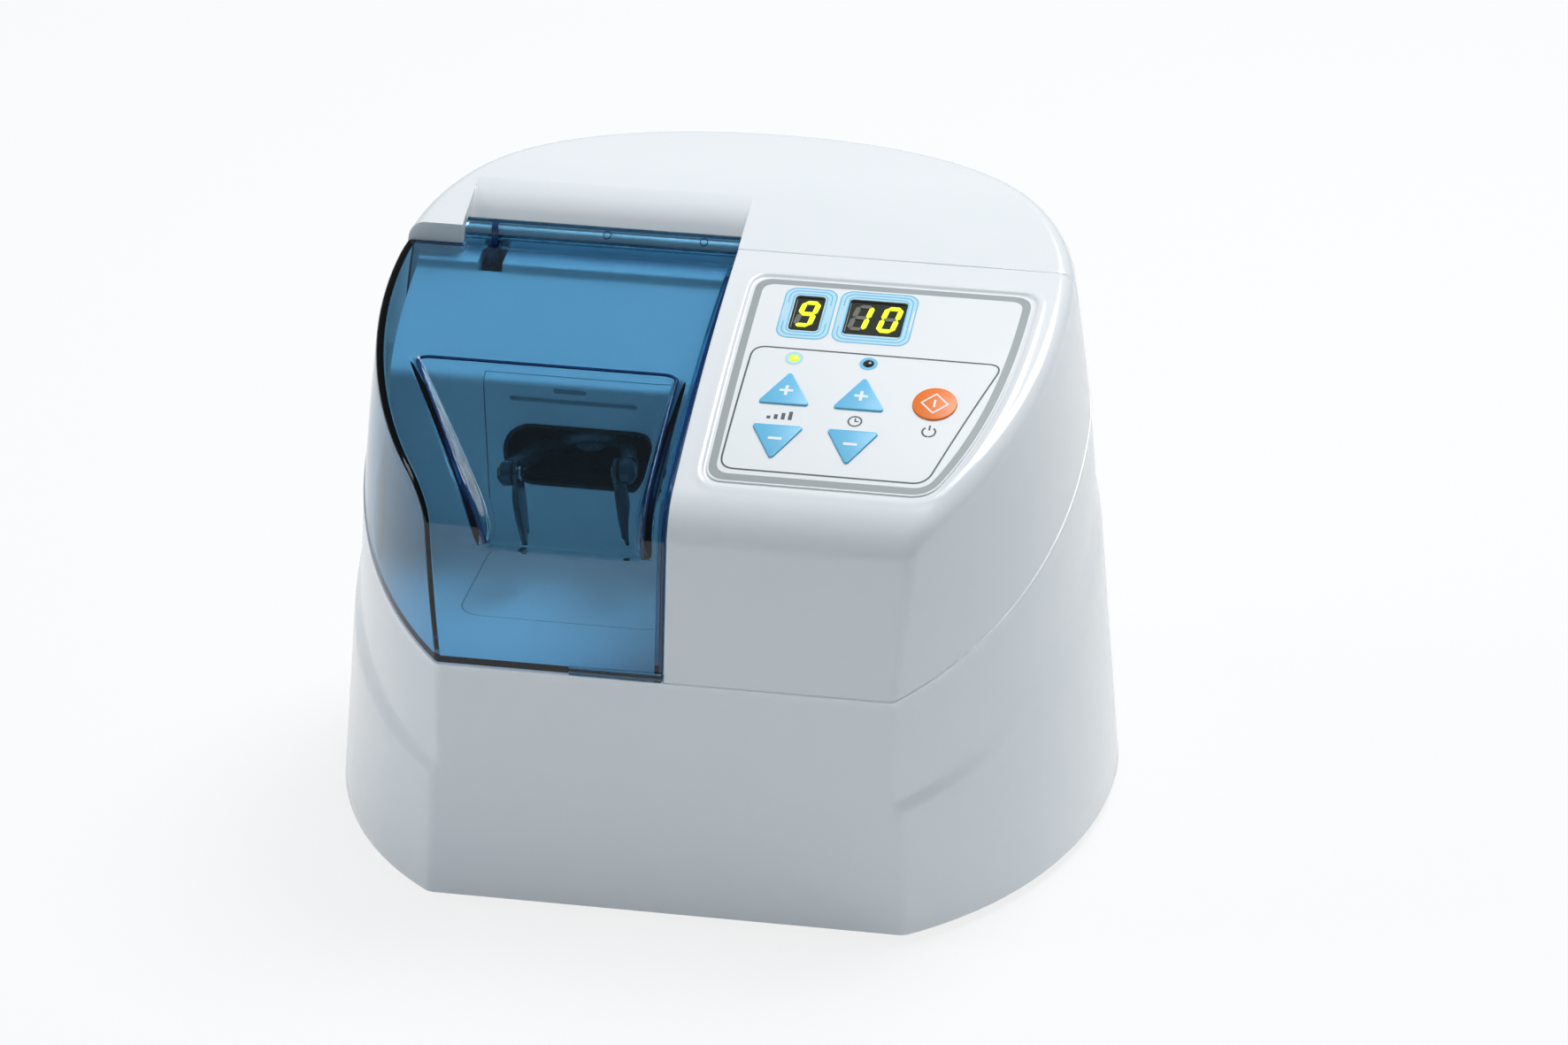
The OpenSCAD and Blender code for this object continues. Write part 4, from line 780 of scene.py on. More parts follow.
# Panel: outline of the film in plan, and places on it.
panelSize = dict(left=7.6, top=-4.8, bottom=-84.6, half=89.3, front=116.0, power=2.6,
                 corner=5.0, recess=0.62, film=-0.22, filmThick=0.38, ramp=1.1)
displays = [dict(x=25.2, y=-19.4, w=8.6, halo=(6.6, 22.4)),
            dict(x=45.0, y=-19.4, w=17.0, halo=(5.6, 22.8))]
keys = [dict(name="key_speed_up", x=25.2, y=-50.3, kind=1),
        dict(name="key_speed_down", x=25.2, y=-69.6, kind=-1),
        dict(name="key_timer_up", x=46.6, y=-50.3, kind=1),
        dict(name="key_timer_down", x=46.6, y=-69.6, kind=-1),
        dict(name="key_start_stop", x=67.7, y=-51.8, kind=0)]
lamps = [dict(x=25.0, y=-38.2, lit=True), dict(x=46.4, y=-38.2, lit=False)]
keySize = dict(w=15.0, h=12.6, round=0.8, start=6.3, gap=0.06, rise=0.26, edge=0.2,
               collar=(1.0, -4.25, -3.35), stem=(1.5, -5.2, -4.1), sign=0.03,
               bar=(0, 0.9, 3.9, 0.95, 0.1), plus=(1.95, 0.45, 0.9), diamond=(4.1, 3.45),
               stroke=(0, 0, 0.62, 3.0, 0.25))


def panelEdge(y):
    s = panelSize
    n = s["power"]
    return s["half"] * (1 - (np.abs(y) / s["front"]) ** n) ** (1 / n)


def panelOutline(inset=0.0, corner=None):
    s = panelSize
    low, high = s["bottom"] + inset, s["top"] - inset
    left = s["left"] + inset
    leg = s["corner"] if corner is None else corner
    y = np.linspace(low, high, 160)
    curve = np.stack([panelEdge(y) - inset * 1.06, y], 1)
    bottom = np.stack([np.linspace(left, curve[0, 0], 60), np.full(60, low)], 1)
    top = np.stack([np.linspace(curve[-1, 0], left, 60), np.full(60, high)], 1)
    side = np.stack([np.full(60, left), np.linspace(high, low, 60)], 1)
    parts = [bottom, curve, top, side]
    loop = []
    for k, part in enumerate(parts):
        after = parts[(k + 1) % 4]
        before = np.linalg.norm(part - part[-1], axis=1)
        fromStart = np.linalg.norm(part - part[0], axis=1)
        keep = part[(before > leg) & (fromStart > leg)]
        loop += keep.tolist()
        first, last = keep[-1], after[np.linalg.norm(after - after[0], axis=1) > leg][0]
        for t in np.linspace(0, 1, 9)[1:-1]:
            loop.append(bend(first, part[-1], last, t).tolist())
    return np.array(loop)


def onPanel(points, lift):
    y = points[:, 1]
    s = topSlope(y)
    size = np.sqrt(1 + s * s)
    return np.stack([points[:, 0], y - lift * s / size, topZ(y) + lift / size], 1)


def panelLift(low, high):
    return lambda points, layer: onPanel(points, low + (high - low) * layer)


def onPlace(loop, place):
    # A loop drawn about (0, 0) on the panel, put at a place's centre.
    tilt = math.cos(math.atan(topSlope(place["y"])))
    return np.stack([place["x"] + loop[:, 0], place["y"] + loop[:, 1] * tilt], 1)


def keyLoop(kind, grow=0.0, steps=8):
    if kind == 0:
        return circleLoop(0, 0, keySize["start"] + grow, 48)
    half, high, r = keySize["w"] / 2, keySize["h"] / 2, keySize["round"] + grow
    centres = [(half - 1.3, 0.9 - high), (0, high - 1), (1.3 - half, 0.9 - high)]
    out = []
    for k in range(3):
        a, b, c = (np.array(centres[(k + m) % 3]) for m in (-1, 0, 1))
        start = math.atan2(-(b - a)[0], (b - a)[1])
        end = math.atan2(-(c - b)[0], (c - b)[1])
        while end < start:
            end += 2 * math.pi
        for angle in np.linspace(start, end, steps + 1):
            out.append(b + r * np.array([math.cos(angle), math.sin(angle)]))
    out = np.array(out)
    return out if kind > 0 else np.stack([out[:, 0], -out[:, 1]], 1)[::-1]


# Control housing: sloping top, bend, front and right side in one skin.
housingSize = dict(wall=3.0, edge=0.45, radius=(5.0, 7.0, 4.9), slabX=(0.05, 2.8),
                   slabY=(-100.68, -22.0), slabFoot=69.0, lip=(1.9, 0.9, 0.16),
                   rows=((6, -3, 8), (-3.4, -6.6, 14), (-7.4, -82, 90), (-82.6, -86.2, 15)),
                   bendRows=22, footRows=22, wallRows=24, arcRows=10,
                   columns=(10, 12, 84, 12, 6), leastRadius=0.6)


def radiusAlong(line, values):
    top, bend, foot = values
    y, z = line[:, 0], line[:, 1]
    toBend = smooth((-50 - y) / 38)
    toFoot = smooth((122 - z) / 40) * (y < -80)
    return (top * (1 - toBend) + bend * toBend) * (1 - toFoot) + foot * toFoot


def housingSkin(drop):
    s, p = housingSize, panelSize
    seam = slopeSize["seamY"]
    e = s["edge"]
    rows = np.concatenate([[seam, seam - 0.15, seam - 0.5],
                           *(np.linspace(*part) for part in s["rows"]), [-87, -88]])
    line, normal = profileLine(rows, seam, 0.0, drop, 0.0, s["bendRows"], s["footRows"])
    radius = np.maximum(radiusAlong(line, s["radius"]) - drop, s["leastRadius"])
    columns, centreX = wallAndFillet(line, normal, radius, drop, seam, 0.0, s["wallRows"],
                                     s["arcRows"])
    y = np.clip(line[:, 0], p["bottom"] - 2, p["top"] + 2)
    edge = panelEdge(y) - drop * 0.3
    outside = np.minimum(edge + p["ramp"] + 0.8, centreX - 0.5)
    anchors = [centreX, outside, np.minimum(edge - 1.0, outside - 1.2),
               p["left"] + 1.0, p["left"] - 2.0, drop + e]
    columns += [atX(x, line) for _, _, x in stepsBetween(anchors, s["columns"])]
    for across, down in ((0.45, 0.12), (0.12, 0.45), (0, 1)):
        columns.append(atX(drop + across * e, line - down * e * normal))
    for t in (0.25, 0.5, 0.75, 1.0):
        z = (line[:, 1] - e) * (1 - t) + partZ(line[:, 0]) * t
        columns.append(atX(drop, np.stack([line[:, 0], z], 1)))
    grid = np.stack(columns, 1)
    if drop == 0:
        flat = grid.reshape(-1, 3)
        near = (flat[:, 2] > 100) & (flat[:, 0] > 2) & (flat[:, 1] < seam - 1)
        near &= np.abs(flat[:, 2] - topZ(flat[:, 1])) < 1.5
        gapTo = np.full(len(flat), 10.0)
        gapTo[near] = loopDistance(flat[near][:, :2], panelOutline(-0.35))
        # a low rounded moulding, then the seat of the film
        seat = 1 - smooth((gapTo + 0.1) / p["ramp"])
        at, wide, high = s["lip"]
        lip = np.exp(-((gapTo - at) / wide) ** 2) * high
        up = onPanel(flat[:, :2], 1.0) - onPanel(flat[:, :2], 0.0)
        flat += up * (lip - p["recess"] * seat)[:, None]
        sunk = smooth((flat[:, 1] - (seam - 0.5)) / 0.5) * e
        flat[:, 2] -= np.where((flat[:, 1] > seam - 0.5) & (flat[:, 2] > 150), sunk * 0.8, 0)
        grid = flat.reshape(grid.shape)
    grid[..., 1] = np.minimum(grid[..., 1], seam)
    return restOnParting(grid, 0.0)


def buildHousing():
    s = housingSize
    shell = newShell()
    joinSkins(shell, housingSkin(0.0), housingSkin(s["wall"]))
    mesh = buildMesh("controlHousing", shell)
    (x0, x1), (front, back), foot = s["slabX"], s["slabY"], s["slabFoot"]
    slab = sheetMesh("slab", np.array([(front, foot), (back, foot), (back, partZ(back) + 3),
                                       (front, partZ(front) + 3)]), extrude("x", x0, x1))
    cuts = newShell()
    for loop, place in [(keyLoop(key["kind"], 0.3), key) for key in keys] + [
            (roundRect(0, 0, window["w"] + 0.6, 16.0, 1.0), window) for window in displays] + [
            (circleLoop(0, 0, 1.7), lamp) for lamp in lamps]:
        addSheet(cuts, onPlace(loop, place), [], panelLift(-6, 3))
    mesh = combine(combine(mesh, [buildMesh("cuts", cuts)]), [slab], "UNION")
    makePiece("controlHousing", mesh, "case", "white_shell", ["control_housing"], sharp=38)


buildHousing()
print("control housing built")


# Rear cover: the crown behind the seam, with the scoop for the hinge.
rearSize = dict(wall=3.0, radius=5.0, slope=0.306, creaseY=41.0, flatSlope=0.07, crease=9.0,
                cap=170.0, capSoft=1.2, earX=-82.5, earY=8.7, scoopFootY=18.5,
                scoopTopY=22.5, troughZ=150.0, around=150, wallRows=16, arcRows=11,
                topRows=46)


def rearZ(y):
    s = rearSize
    rise = slopeSize["seamZ"] + s["slope"] * (y - slopeSize["seamY"])
    rise = rise - (s["slope"] - s["flatSlope"]) * softPlus(y - s["creaseY"], s["crease"])
    return rise - softPlus(rise - s["cap"], s["capSoft"])


def rearSkin(drop):
    s = rearSize
    seam = slopeSize["seamY"]
    r = max(s["radius"] - drop, 1.0)
    share = np.concatenate([np.linspace(0, 0.02, 4)[:-1], np.linspace(0.02, 0.98, s["around"]),
                            np.linspace(0.98, 1, 4)[1:]])
    angle = -0.02 + share * (math.pi + 0.04)

    def wallPoint(z):
        half = upHalf(z)
        _, rear, _ = depths(z, half, drop)
        x = (half - drop) * powered(np.cos(angle))
        y = np.maximum(rear * powered(np.sin(angle)), seam)
        x = np.sign(np.cos(angle)) * sideX(np.minimum(y, rear - 1e-6), z, drop) * (
            y <= seam) + x * (y > seam)
        return np.stack([x, y, z], 1)

    def shape(point):
        half = upHalf(point[:, 2])
        _, rear, _ = depths(point[:, 2], half, drop)
        n = caseSize["power"]
        return (np.abs(point[:, 0]) / (half - drop)) ** n + (np.abs(point[:, 1]) / rear) ** n

    def wallNormal(z):
        point, step = wallPoint(z), 0.05
        return unit(np.stack([shape(point + step * axis) - shape(point - step * axis)
                              for axis in np.eye(3)], 1))

    def topUnder(out, z):
        # Centre of the rounded edge, and the slope of the top above it.
        centre = wallPoint(z) - r * out
        slope = (rearZ(centre[:, 1] + 0.1) - rearZ(centre[:, 1] - 0.1)) / 0.2
        return centre, slope, np.sqrt(1 + slope ** 2)

    z = rearZ(wallPoint(np.full(len(angle), 150.0))[:, 1]) - drop - r
    for _ in range(10):
        centre, slope, size = topUnder(wallNormal(z), z)
        z = z + rearZ(centre[:, 1]) - (drop + r) * size - centre[:, 2]
    out = wallNormal(z)
    centre, slope, size = topUnder(out, z)
    top = np.stack([0 * slope, -slope / size, 1 / size], 1)
    low = partZ(wallPoint(z)[:, 1])
    columns = [wallPoint(low * (1 - t) + z * t) for t in np.linspace(0, 1, s["wallRows"])[:-1]]
    columns += [centre + r * ray for ray in turnBetween(out, top, s["arcRows"])]
    last = columns[-1]
    for t in (*np.linspace(0, 1, s["topRows"])[1:-1], 0.994, 1.0):
        y = last[:, 1] * (1 - t) + seam * t
        columns.append(np.stack([last[:, 0], y, rearZ(y) - drop * size], 1))
    grid = np.stack(columns, 1)
    grid[..., 1] = np.maximum(grid[..., 1], seam)
    if drop == 0:
        grid[:, -1, 2] -= 0.35
    return restOnParting(grid, 0.0)


def buildRearCover():
    s = rearSize
    shell = newShell()
    joinSkins(shell, rearSkin(0.0), rearSkin(s["wall"]))
    mesh = buildMesh("rearCover", shell)
    foot, rise, trough = s["scoopFootY"], s["scoopTopY"], s["troughZ"]
    t = s["wall"]
    seam = slopeSize["seamY"]
    linings = (
        ([(foot - 0.5, trough - 4), (foot + t, trough - 4), (foot + t, trough),
          (rise + 2 * t, rearZ(rise) - 1.5), (foot - 0.5, rearZ(foot) - 1.5)],
         s["earX"] - 1.5, 1.5),
        ([(seam + 0.02, trough - 6), (foot + t - 0.3, trough - 6),
          (foot + t - 0.3, rearZ(foot) - 1), (seam + 0.02, rearZ(seam) - 1.2)], 0.0, t),
        ([(s["earY"] - 0.5, 118.0), (foot + t - 0.6, 122.0), (foot + t - 0.6, rearZ(foot) - 1),
          (s["earY"] - 0.5, rearZ(s["earY"]) - 1.2)], s["earX"] - t, s["earX"]))
    walls = [sheetMesh("lining", np.array(outline), extrude("x", x0, x1))
             for outline, x0, x1 in linings]
    ear, levels = s["earY"], (118, 130, 142, 150)
    head = rearZ(ear) - 1
    side = 1.2 - sideX(ear, np.array([*levels, head], float), 0)
    outline = [(s["earX"] - 0.5, 118, 0)] + [(x, z, 0) for x, z in zip(side, levels)]
    outline = roundedLoop(outline + [(side[4] + 0.6, head, 5), (s["earX"] - 0.5, head, 0)])
    walls.append(sheetMesh("front", outline[::-1], extrude("y", ear - 0.4, ear + t)))
    mesh = combine(mesh, walls, "UNION")
    outline = roundedLoop([(-30, 100, 0), (foot, 100, 0), (foot, trough + 4.5, 2),
                           (rise + 1, rearZ(rise) - 1.5, 4), (rise + 7.5, rearZ(rise + 7.5), 0),
                           (rise + 7.6, 200, 0), (-30, 200, 0)], 10)
    mesh = combine(mesh, [
        sheetMesh("scoop", outline, extrude("x", s["earX"], 0.0)),
        sheetMesh("ear", np.array([(-30, 60), (ear, 60), (ear, 220), (-30, 220)]),
                  extrude("x", -140, s["earX"] + 1))])
    makePiece("rearCover", mesh, "case", "white_shell", ["rear_cover"], sharp=34)


buildRearCover()
print("rear cover built")


# Hood: one clear moulding with a sunk front window.
hoodSize = dict(thick=2.5, sag=5.0, gap=0.4, rear=7.6, radius=(1.9, 1.9, 2.4),
                foldY=-47.2, foldAngle=32.6, length=64.0, right=-6.6, leftTop=-83.5,
                leftFoot=-50.0, draft=20.0, soft=0.12, lip=26.5,
                hingeY=14.5, hingeZ=155.5, barrel=3.5, pin=1.6, barrelLeft=-82.1,
                tabX=(-75, -72), rows=((5.6, -44, 44), (-44.8, -50.5, 16), (-51.4, -88, 44)),
                bendRows=30, footRows=34, wallRows=22, arcRows=6,
                columns=(10, 22, 22, 16, 5), sunk=((0, 0), (0, 1), (1, 1), (1, 0), (0, 0)),
                tab=((-6, -3, 0.8), (-6, -9.5, 1), (-4, -11.3, 1), (-2, -11.3, 1),
                     (0, -8.3, 1), (0, -3.0, 0.5), (-2.4, -1.95, 0.5)),
                outerFlange=(0.12, 0.5, 1, 2.5, 4, 6), innerFlange=(0.1, 0.3, 0.6, 1.4, 2.4, 3.5))


def hoodZ(y):
    span = slopeSize["seamY"] - slopeSize["bendY"]
    return topZ(y) - hoodSize["sag"] * (np.maximum(y - slopeSize["bendY"], 0) / span) ** 2


def foldFrame(drop):
    # A point on the sunk window's upper edge, and its two directions.
    a = math.radians(hoodSize["foldAngle"])
    face = np.array([-math.sin(a), math.cos(a)])
    fold = np.array([hoodSize["foldY"], hoodZ(hoodSize["foldY"])]) - drop * face
    return fold, np.array([-math.cos(a), -math.sin(a)]), face


def hoodSkin(drop):
    s = hoodSize
    rear = s["rear"]
    rows = np.concatenate([[rear, 7.3, 6.6], *(np.linspace(*part) for part in s["rows"])])
    line, normal = profileLine(rows, rear, s["sag"], drop, s["gap"], s["bendRows"],
                               s["footRows"])
    radius = np.maximum(radiusAlong(line, s["radius"]) - 0.6 * drop, 0.5)
    wall, centreX = wallAndFillet(line, normal, radius, drop, rear, s["gap"], s["wallRows"],
                                  s["arcRows"])
    columns = [point * np.array([-1, 1, 1]) for point in wall]
    fold, down, face = foldFrame(drop)
    along = (line - fold) @ down
    depth = softPlus((line - fold) @ face, s["soft"])
    depth = np.where((line - fold) @ face < -6, 0, depth) * (line[:, 0] < s["foldY"] + 14)
    grow = drop * 1.06
    share = np.clip(along / s["length"], 0, 1.02)
    crestLeft = s["leftTop"] + (s["leftFoot"] - s["leftTop"]) * share - grow
    ramp = np.maximum(depth * math.tan(math.radians(s["draft"])), 0) + 1.2
    end = -s["gap"] - (s["thick"] if drop else 0)
    crestRight = min(s["right"] + grow, end - 0.15)
    anchors = [-centreX, crestLeft, crestLeft + ramp, crestRight - ramp, crestRight, end]
    for k, t, x in stepsBetween(anchors, s["columns"]):
        before, after = s["sunk"][k]
        share = smooth(before * (1 - t) + after * t)
        columns.append(atX(x, line - (depth * share)[:, None] * face))
    for deep in s["innerFlange" if drop else "outerFlange"]:
        columns.append(atX(end, line - deep * normal))
    grid = np.stack(columns, 1)
    grid[..., 1] = np.minimum(grid[..., 1], rear)
    return restOnParting(grid, s["gap"])


def buildHood():
    s = hoodSize
    shell = newShell()
    joinSkins(shell, hoodSkin(0.0), hoodSkin(s["thick"]), split=True)
    mesh = buildMesh("hood", shell)
    y, z, r = s["hingeY"], s["hingeZ"], s["barrel"]
    top = hoodZ(7.0)
    angles = np.radians(np.linspace(211, -112, 42))
    lip = [(6.9, top - s["thick"]), (6.9, top)]
    lip += [(y + r * math.cos(a), z + r * math.sin(a)) for a in angles]
    lip += [(12.2, top - s["thick"])]
    rearLip = sheetMesh("rearLip", np.array(lip)[::-1],
                        extrude("x", s["barrelLeft"], -s["gap"]),
                        [circleLoop(y, z, s["pin"], 24)], (0, 0.5, 1))
    tab = sheetMesh("tab", loopAt(y, z, s["tab"]), extrude("x", *s["tabX"]))
    lipZ, lipY = caseSize["partFrontZ"] + s["gap"], caseSize["partFrontY"]
    outline = loopAt(-s["gap"], lipY, [(-s["lip"], -1.4, 0.7), (0, -1.4, 0.3), (0, 1.0, 0),
                                       (-s["lip"], 1.0, 0)])
    front = sheetMesh("front", outline, extrude("z", lipZ, lipZ + 2))
    whole = combine(mesh, [rearLip, tab, front], "UNION")
    makePiece("hoodShell", whole, "hood", "blue_hood", ["hood"], sharp=58)


buildHood()


# Painted shade: dark rods and a dark tab inside the clear wall stand in for the darkening where it
# folds and ends; the two small rings mark the moulding gates.
edgeSize = dict(crest=0.5, rim=0.5, back=0.4, thin=0.16, deep=1.0, pitch=1.5, lipTurn=62,
                gates=(-39.9, -11.1), gate=(1.1, -2.4, 2.15, 0.62), tabX=(-74.5, -72.5),
                tab=((-3.0, -1.0, 0.5), (-5.2, -3.6, 0.8), (-5.2, -9.0, 1), (-3.8, -10.6, 1),
                     (-2.4, -10.6, 1), (-0.8, -8.0, 1), (-0.8, 3.0, 0.5), (-2.4, 2.0, 0.5)))


def rodAlong(shell, path, radius, around=10):
    addTube(shell, path, [(radius, radius)] * len(path), around=around, up=(0.31, 0.52, 0.80))


def buildHoodEdgeShade():
    s, e = hoodSize, edgeSize
    rows = np.concatenate([[s["rear"]], np.linspace(6, -47, 60),
                           np.linspace(s["foldY"], -88, 50)[1:]])
    line, _ = profileLine(rows, s["rear"], s["sag"], e["deep"], s["gap"], s["bendRows"],
                          s["footRows"])
    fold, down, face = foldFrame(e["deep"])
    inside = (line - fold) @ face
    along = (line - fold) @ down
    share = np.clip(along / s["length"], 0, 1)
    keep = (inside > 0.02) & (line[:, 0] < s["foldY"]) & (along < s["length"])
    left = s["leftTop"] + (s["leftFoot"] - s["leftTop"]) * share
    right = min(s["right"], -s["gap"] - 0.6)
    shell = newShell()
    leftCrest, rightCrest = atX(left, line)[keep], atX(right, line)[keep]
    foldLine = [np.array([s["leftTop"] + 2.0, *fold]), np.array([s["right"] - 2.0, *fold])]
    whole = np.concatenate([leftCrest[::-1], foldLine, rightCrest])
    steps = [whole[0]]
    for point in whole[1:]:
        start = steps[-1]
        count = max(1, int(np.linalg.norm(point - start) / e["pitch"]))
        steps += [start + (point - start) * k / count for k in range(1, count + 1)]
    for _ in range(2):
        inner = [0.25 * a + 0.5 * b + 0.25 * c for a, b, c in zip(steps, steps[1:], steps[2:])]
        steps = [steps[0], *inner, steps[-1]]
    rodAlong(shell, steps, e["crest"])
    rodAlong(shell, atX(-s["gap"] - 0.65, line)[::2], e["rim"])
    back = s["rear"] - 0.7
    seamSide = -float(sideX(back, hoodZ(back), 0)) + 2.6
    rodAlong(shell, [(x, back, hoodZ(back) - 1.0)
                     for x in np.linspace(seamSide, s["barrelLeft"] + 0.5, 12)], e["back"])
    a = math.radians(e["lipTurn"])
    y, z = s["hingeY"], s["hingeZ"]
    top = np.array([y, z]) + (s["barrel"] - 0.35) * np.array([math.cos(a), math.sin(a)])
    rodAlong(shell, [(x, *top) for x in np.linspace(s["barrelLeft"] + 0.6, -1.2, 30)],
             e["thin"] * 1.3)
    addSheet(shell, loopAt(y, z, e["tab"]), [], extrude("x", *e["tabX"]))
    r, back, lift, lean = e["gate"]
    a = np.linspace(0, 2 * math.pi, 40)
    for x in e["gates"]:
        rodAlong(shell, np.stack([x + r * np.cos(a), y + back + r * np.sin(a),
                                  z + lift + lean * r * np.sin(a)], 1), e["thin"], 8)
    makePiece("hoodEdgeShadeAndGates", shell, "hood", "blue_hood", look=hoodEdgeShadeLook)


buildHoodEdgeShade()
print("hood built")


# Mixing chamber: folded white wall, its liner and the gasket of the opening.
chamberSize = dict(thick=4.0, linerThick=2.0, floorZ=73.0, footY=-27.0, topY=-33.0,
                   shelfZ=147.4, shelfSlope=0.4725, troughZ=150.0, rear=18.2, front=-100.68,
                   inset=5.2, linerLeft=-66.8, linerRight=-6.0, linerFront=-71.0, lip=3.0,
                   openX=-38.0, openZ=105.0, openW=48.0, openH=20.5, fit=0.32,
                   linerCorner=7.0, slotX=(-77, -69.6), slotY=(3.6, 15), slotZ=(136, 160),
                   cheekThick=2.5, vent=(-40.6, 123.3, 37.5, 1.7, 0.6),
                   mark=(-41.5, 126.9, 9.5, 1.5, 0.5), through=(-8, 12), openCut=2.6)
gasketSize = dict(fit=-0.05, hole=-1.1, flange=2.4, front=-0.35, back=(2.15, 3.55, 3.6))


def shelfAt(y, down=0.0):
    s = chamberSize
    return s["shelfZ"] + s["shelfSlope"] * (y - 7.0) - down


def wallY(z, back=0.0):
    s = chamberSize
    lean = (s["topY"] - s["footY"]) / (shelfAt(s["topY"]) - s["floorZ"])
    return s["footY"] + lean * (z - s["floorZ"]) + back


def bandLoop(thick, lip, front, up=0.0):
    s = chamberSize
    under = thick * math.sqrt(1 + s["shelfSlope"] ** 2)
    lean = wallY(1.0) - wallY(0.0)
    innerZ = (s["shelfZ"] - under + s["shelfSlope"] * (wallY(0, thick) - 7)) / (
        1 - s["shelfSlope"] * lean)
    if lip:
        start = s["topY"] + lip
        head = [(start, shelfAt(start) + up, 0)]
        tail = [(start, shelfAt(start, under), 0)]
    else:
        head = [(s["rear"], s["troughZ"], 0), (4, s["troughZ"] - 1.7, 0.8), (4, shelfAt(4), 1.2)]
        tail = [(7, shelfAt(7, under), 1), (10, s["troughZ"] - thick, 0),
                (s["rear"], s["troughZ"] - thick, 0)]
    body = [(s["topY"] - up, shelfAt(s["topY"]) + up, 3.0),
            (s["footY"] - up, s["floorZ"] + up, 3.5),
            (front, s["floorZ"] + up, 0), (front, s["floorZ"] - thick, 0),
            (s["footY"] + thick, s["floorZ"] - thick, 3.0), (wallY(innerZ, thick), innerZ, 2.0)]
    return roundedLoop(head + body + tail)[::-1]


def openingLoop(grow):
    s = chamberSize
    h = s["openH"] / 2 + grow
    return roundRect(s["openX"], s["openZ"], s["openW"] + 2 * grow, 2 * h, h - 1, 10)


def throughWall(front, back):
    def mapping(points, layer):
        y = wallY(points[:, 1], front + (back - front) * layer)
        return np.stack([points[:, 0], y, points[:, 1]], 1)
    return mapping


def linerMesh(grow, name):
    s = chamberSize
    block = newShell()
    thick = s["linerThick"] + (grow / 6 if grow else 0)
    addSheet(block, bandLoop(thick, s["lip"] + grow, s["linerFront"] - grow, 3.0 if grow else 0),
             [], extrude("x", s["linerLeft"] - grow, s["linerRight"] + grow))
    corners = newShell()
    r = s["linerCorner"]
    for x, side in ((s["linerLeft"] - grow, 1), (s["linerRight"] + grow, -1)):
        y = s["linerFront"] - grow
        arc = [(x + side * (r - r * math.cos(a)), y + r - r * math.sin(a))
               for a in np.linspace(0, math.pi / 2, 9)]
        loop = arc + [(x + side * r, y - 5), (x - side * 5, y - 5), (x - side * 5, y + r)]
        addSheet(corners, np.array(loop), [], extrude("z", 60, 90))
    return combine(buildMesh(name, block), [buildMesh("corners", corners)])


def buildChamber():
    s = chamberSize

    def toWall(points, layer):
        return atX(-layer * sideX(points[:, 0], points[:, 1], s["inset"]), points)

    band = newShell()
    addSheet(band, denseLoop(bandLoop(s["thick"], 0, s["front"])), [], toWall,
             layers=np.linspace(0, 1, 20))
    (y0, y1), (z0, z1) = s["slotY"], s["slotZ"]
    mesh = combine(buildMesh("band", band), [
        linerMesh(s["fit"], "pocket"),
        sheetMesh("opening", openingLoop(s["openCut"]), throughWall(*s["through"])),
        sheetMesh("slot", np.array([(y0, z0), (y1, z0), (y1, z1), (y0, z1)]),
                  extrude("x", *s["slotX"]))])
    makePiece("chamberWall", mesh, "case", "white_chamber", ["chamber_housing"])

    cheek = newShell()
    y, foot = np.linspace(wallY(s["floorZ"], 1.5), 6.4, 30), s["floorZ"] - 1
    rows = [foot * (1 - t) + (shelfAt(y) - 1.5) * t for t in np.linspace(0, 1, 24)]
    joinSkins(cheek, *(np.array([np.stack([-sideX(y, z, inset), y, z], 1) for z in rows])
                       for inset in (s["inset"], s["inset"] + s["cheekThick"])))
    makePiece("chamberCheek", cheek, "case", "white_chamber")

    cuts = newShell()
    for loop in (openingLoop(0.0), roundRect(*s["vent"])):
        addSheet(cuts, loop, [], throughWall(*s["through"]))
    liner = combine(linerMesh(0.0, "liner"), [buildMesh("cuts", cuts)])
    makePiece("chamberLiner", liner, "case", "white_chamber", ["chamber_liner"])

    makePiece("linerPad", sheetMesh("linerPad", roundRect(*s["mark"]), throughWall(-0.25, 0.05)),
              "case", "white_chamber", look=printLooks["grey"])

    g = gasketSize
    start, end, whole = g["back"]
    gasket, fit = newShell(), openingLoop(g["fit"])
    addSheet(gasket, fit, [openingLoop(g["hole"])], throughWall(g["front"], whole),
             layers=(0, 0.1, 1))
    addSheet(gasket, openingLoop(g["flange"]), [fit], throughWall(start, end))
    makePiece("openingGasket", gasket, "case", "rubber_black", ["opening_gasket"])


buildChamber()
print("mixing chamber built")


# Panel film and the print on it, with small signs between the keys, and a painted glow round the
# lit lamp.
printSize = dict(ink=0.035, film=0.3, border=(0.75, 2.95, 3.4), line=(4.2, 0.26),
                 halo=3.6, rings=(0.0, -1.25, -2.5), ring=0.4, lamp=(2.6, 1.6),
                 signs=(("speed", 25.0, -60.2), ("time", 46.4, -60.2), ("power", 67.7, -61.9)))
innerLine = [(12.5, -34.4), (11.4, -79.9), (69.9, -80.1), (84.5, -34.8)]


def addPrint(shell, loop, place=None, holes=(), level=1, step=4.0):
    lift = panelSize["film"]
    move = (lambda v: onPlace(np.asarray(v, float), place)) if place else np.asarray
    addSheet(shell, move(loop), [move(h) for h in holes],
             panelLift(lift - 0.04, lift + printSize["ink"] * level), step=step)


def strokeLoop(points, width):
    points = np.asarray(points, float)
    tangent = unit(np.gradient(points, axis=0))
    across = np.stack([-tangent[:, 1], tangent[:, 0]], 1) * width / 2
    return np.concatenate([points - across, (points + across)[::-1]])


def arcPoints(cx, cy, r, a0, a1, steps=16):
    a = np.radians(np.linspace(a0, a1, steps))
    return np.stack([cx + r * np.cos(a), cy + r * np.sin(a)], 1)


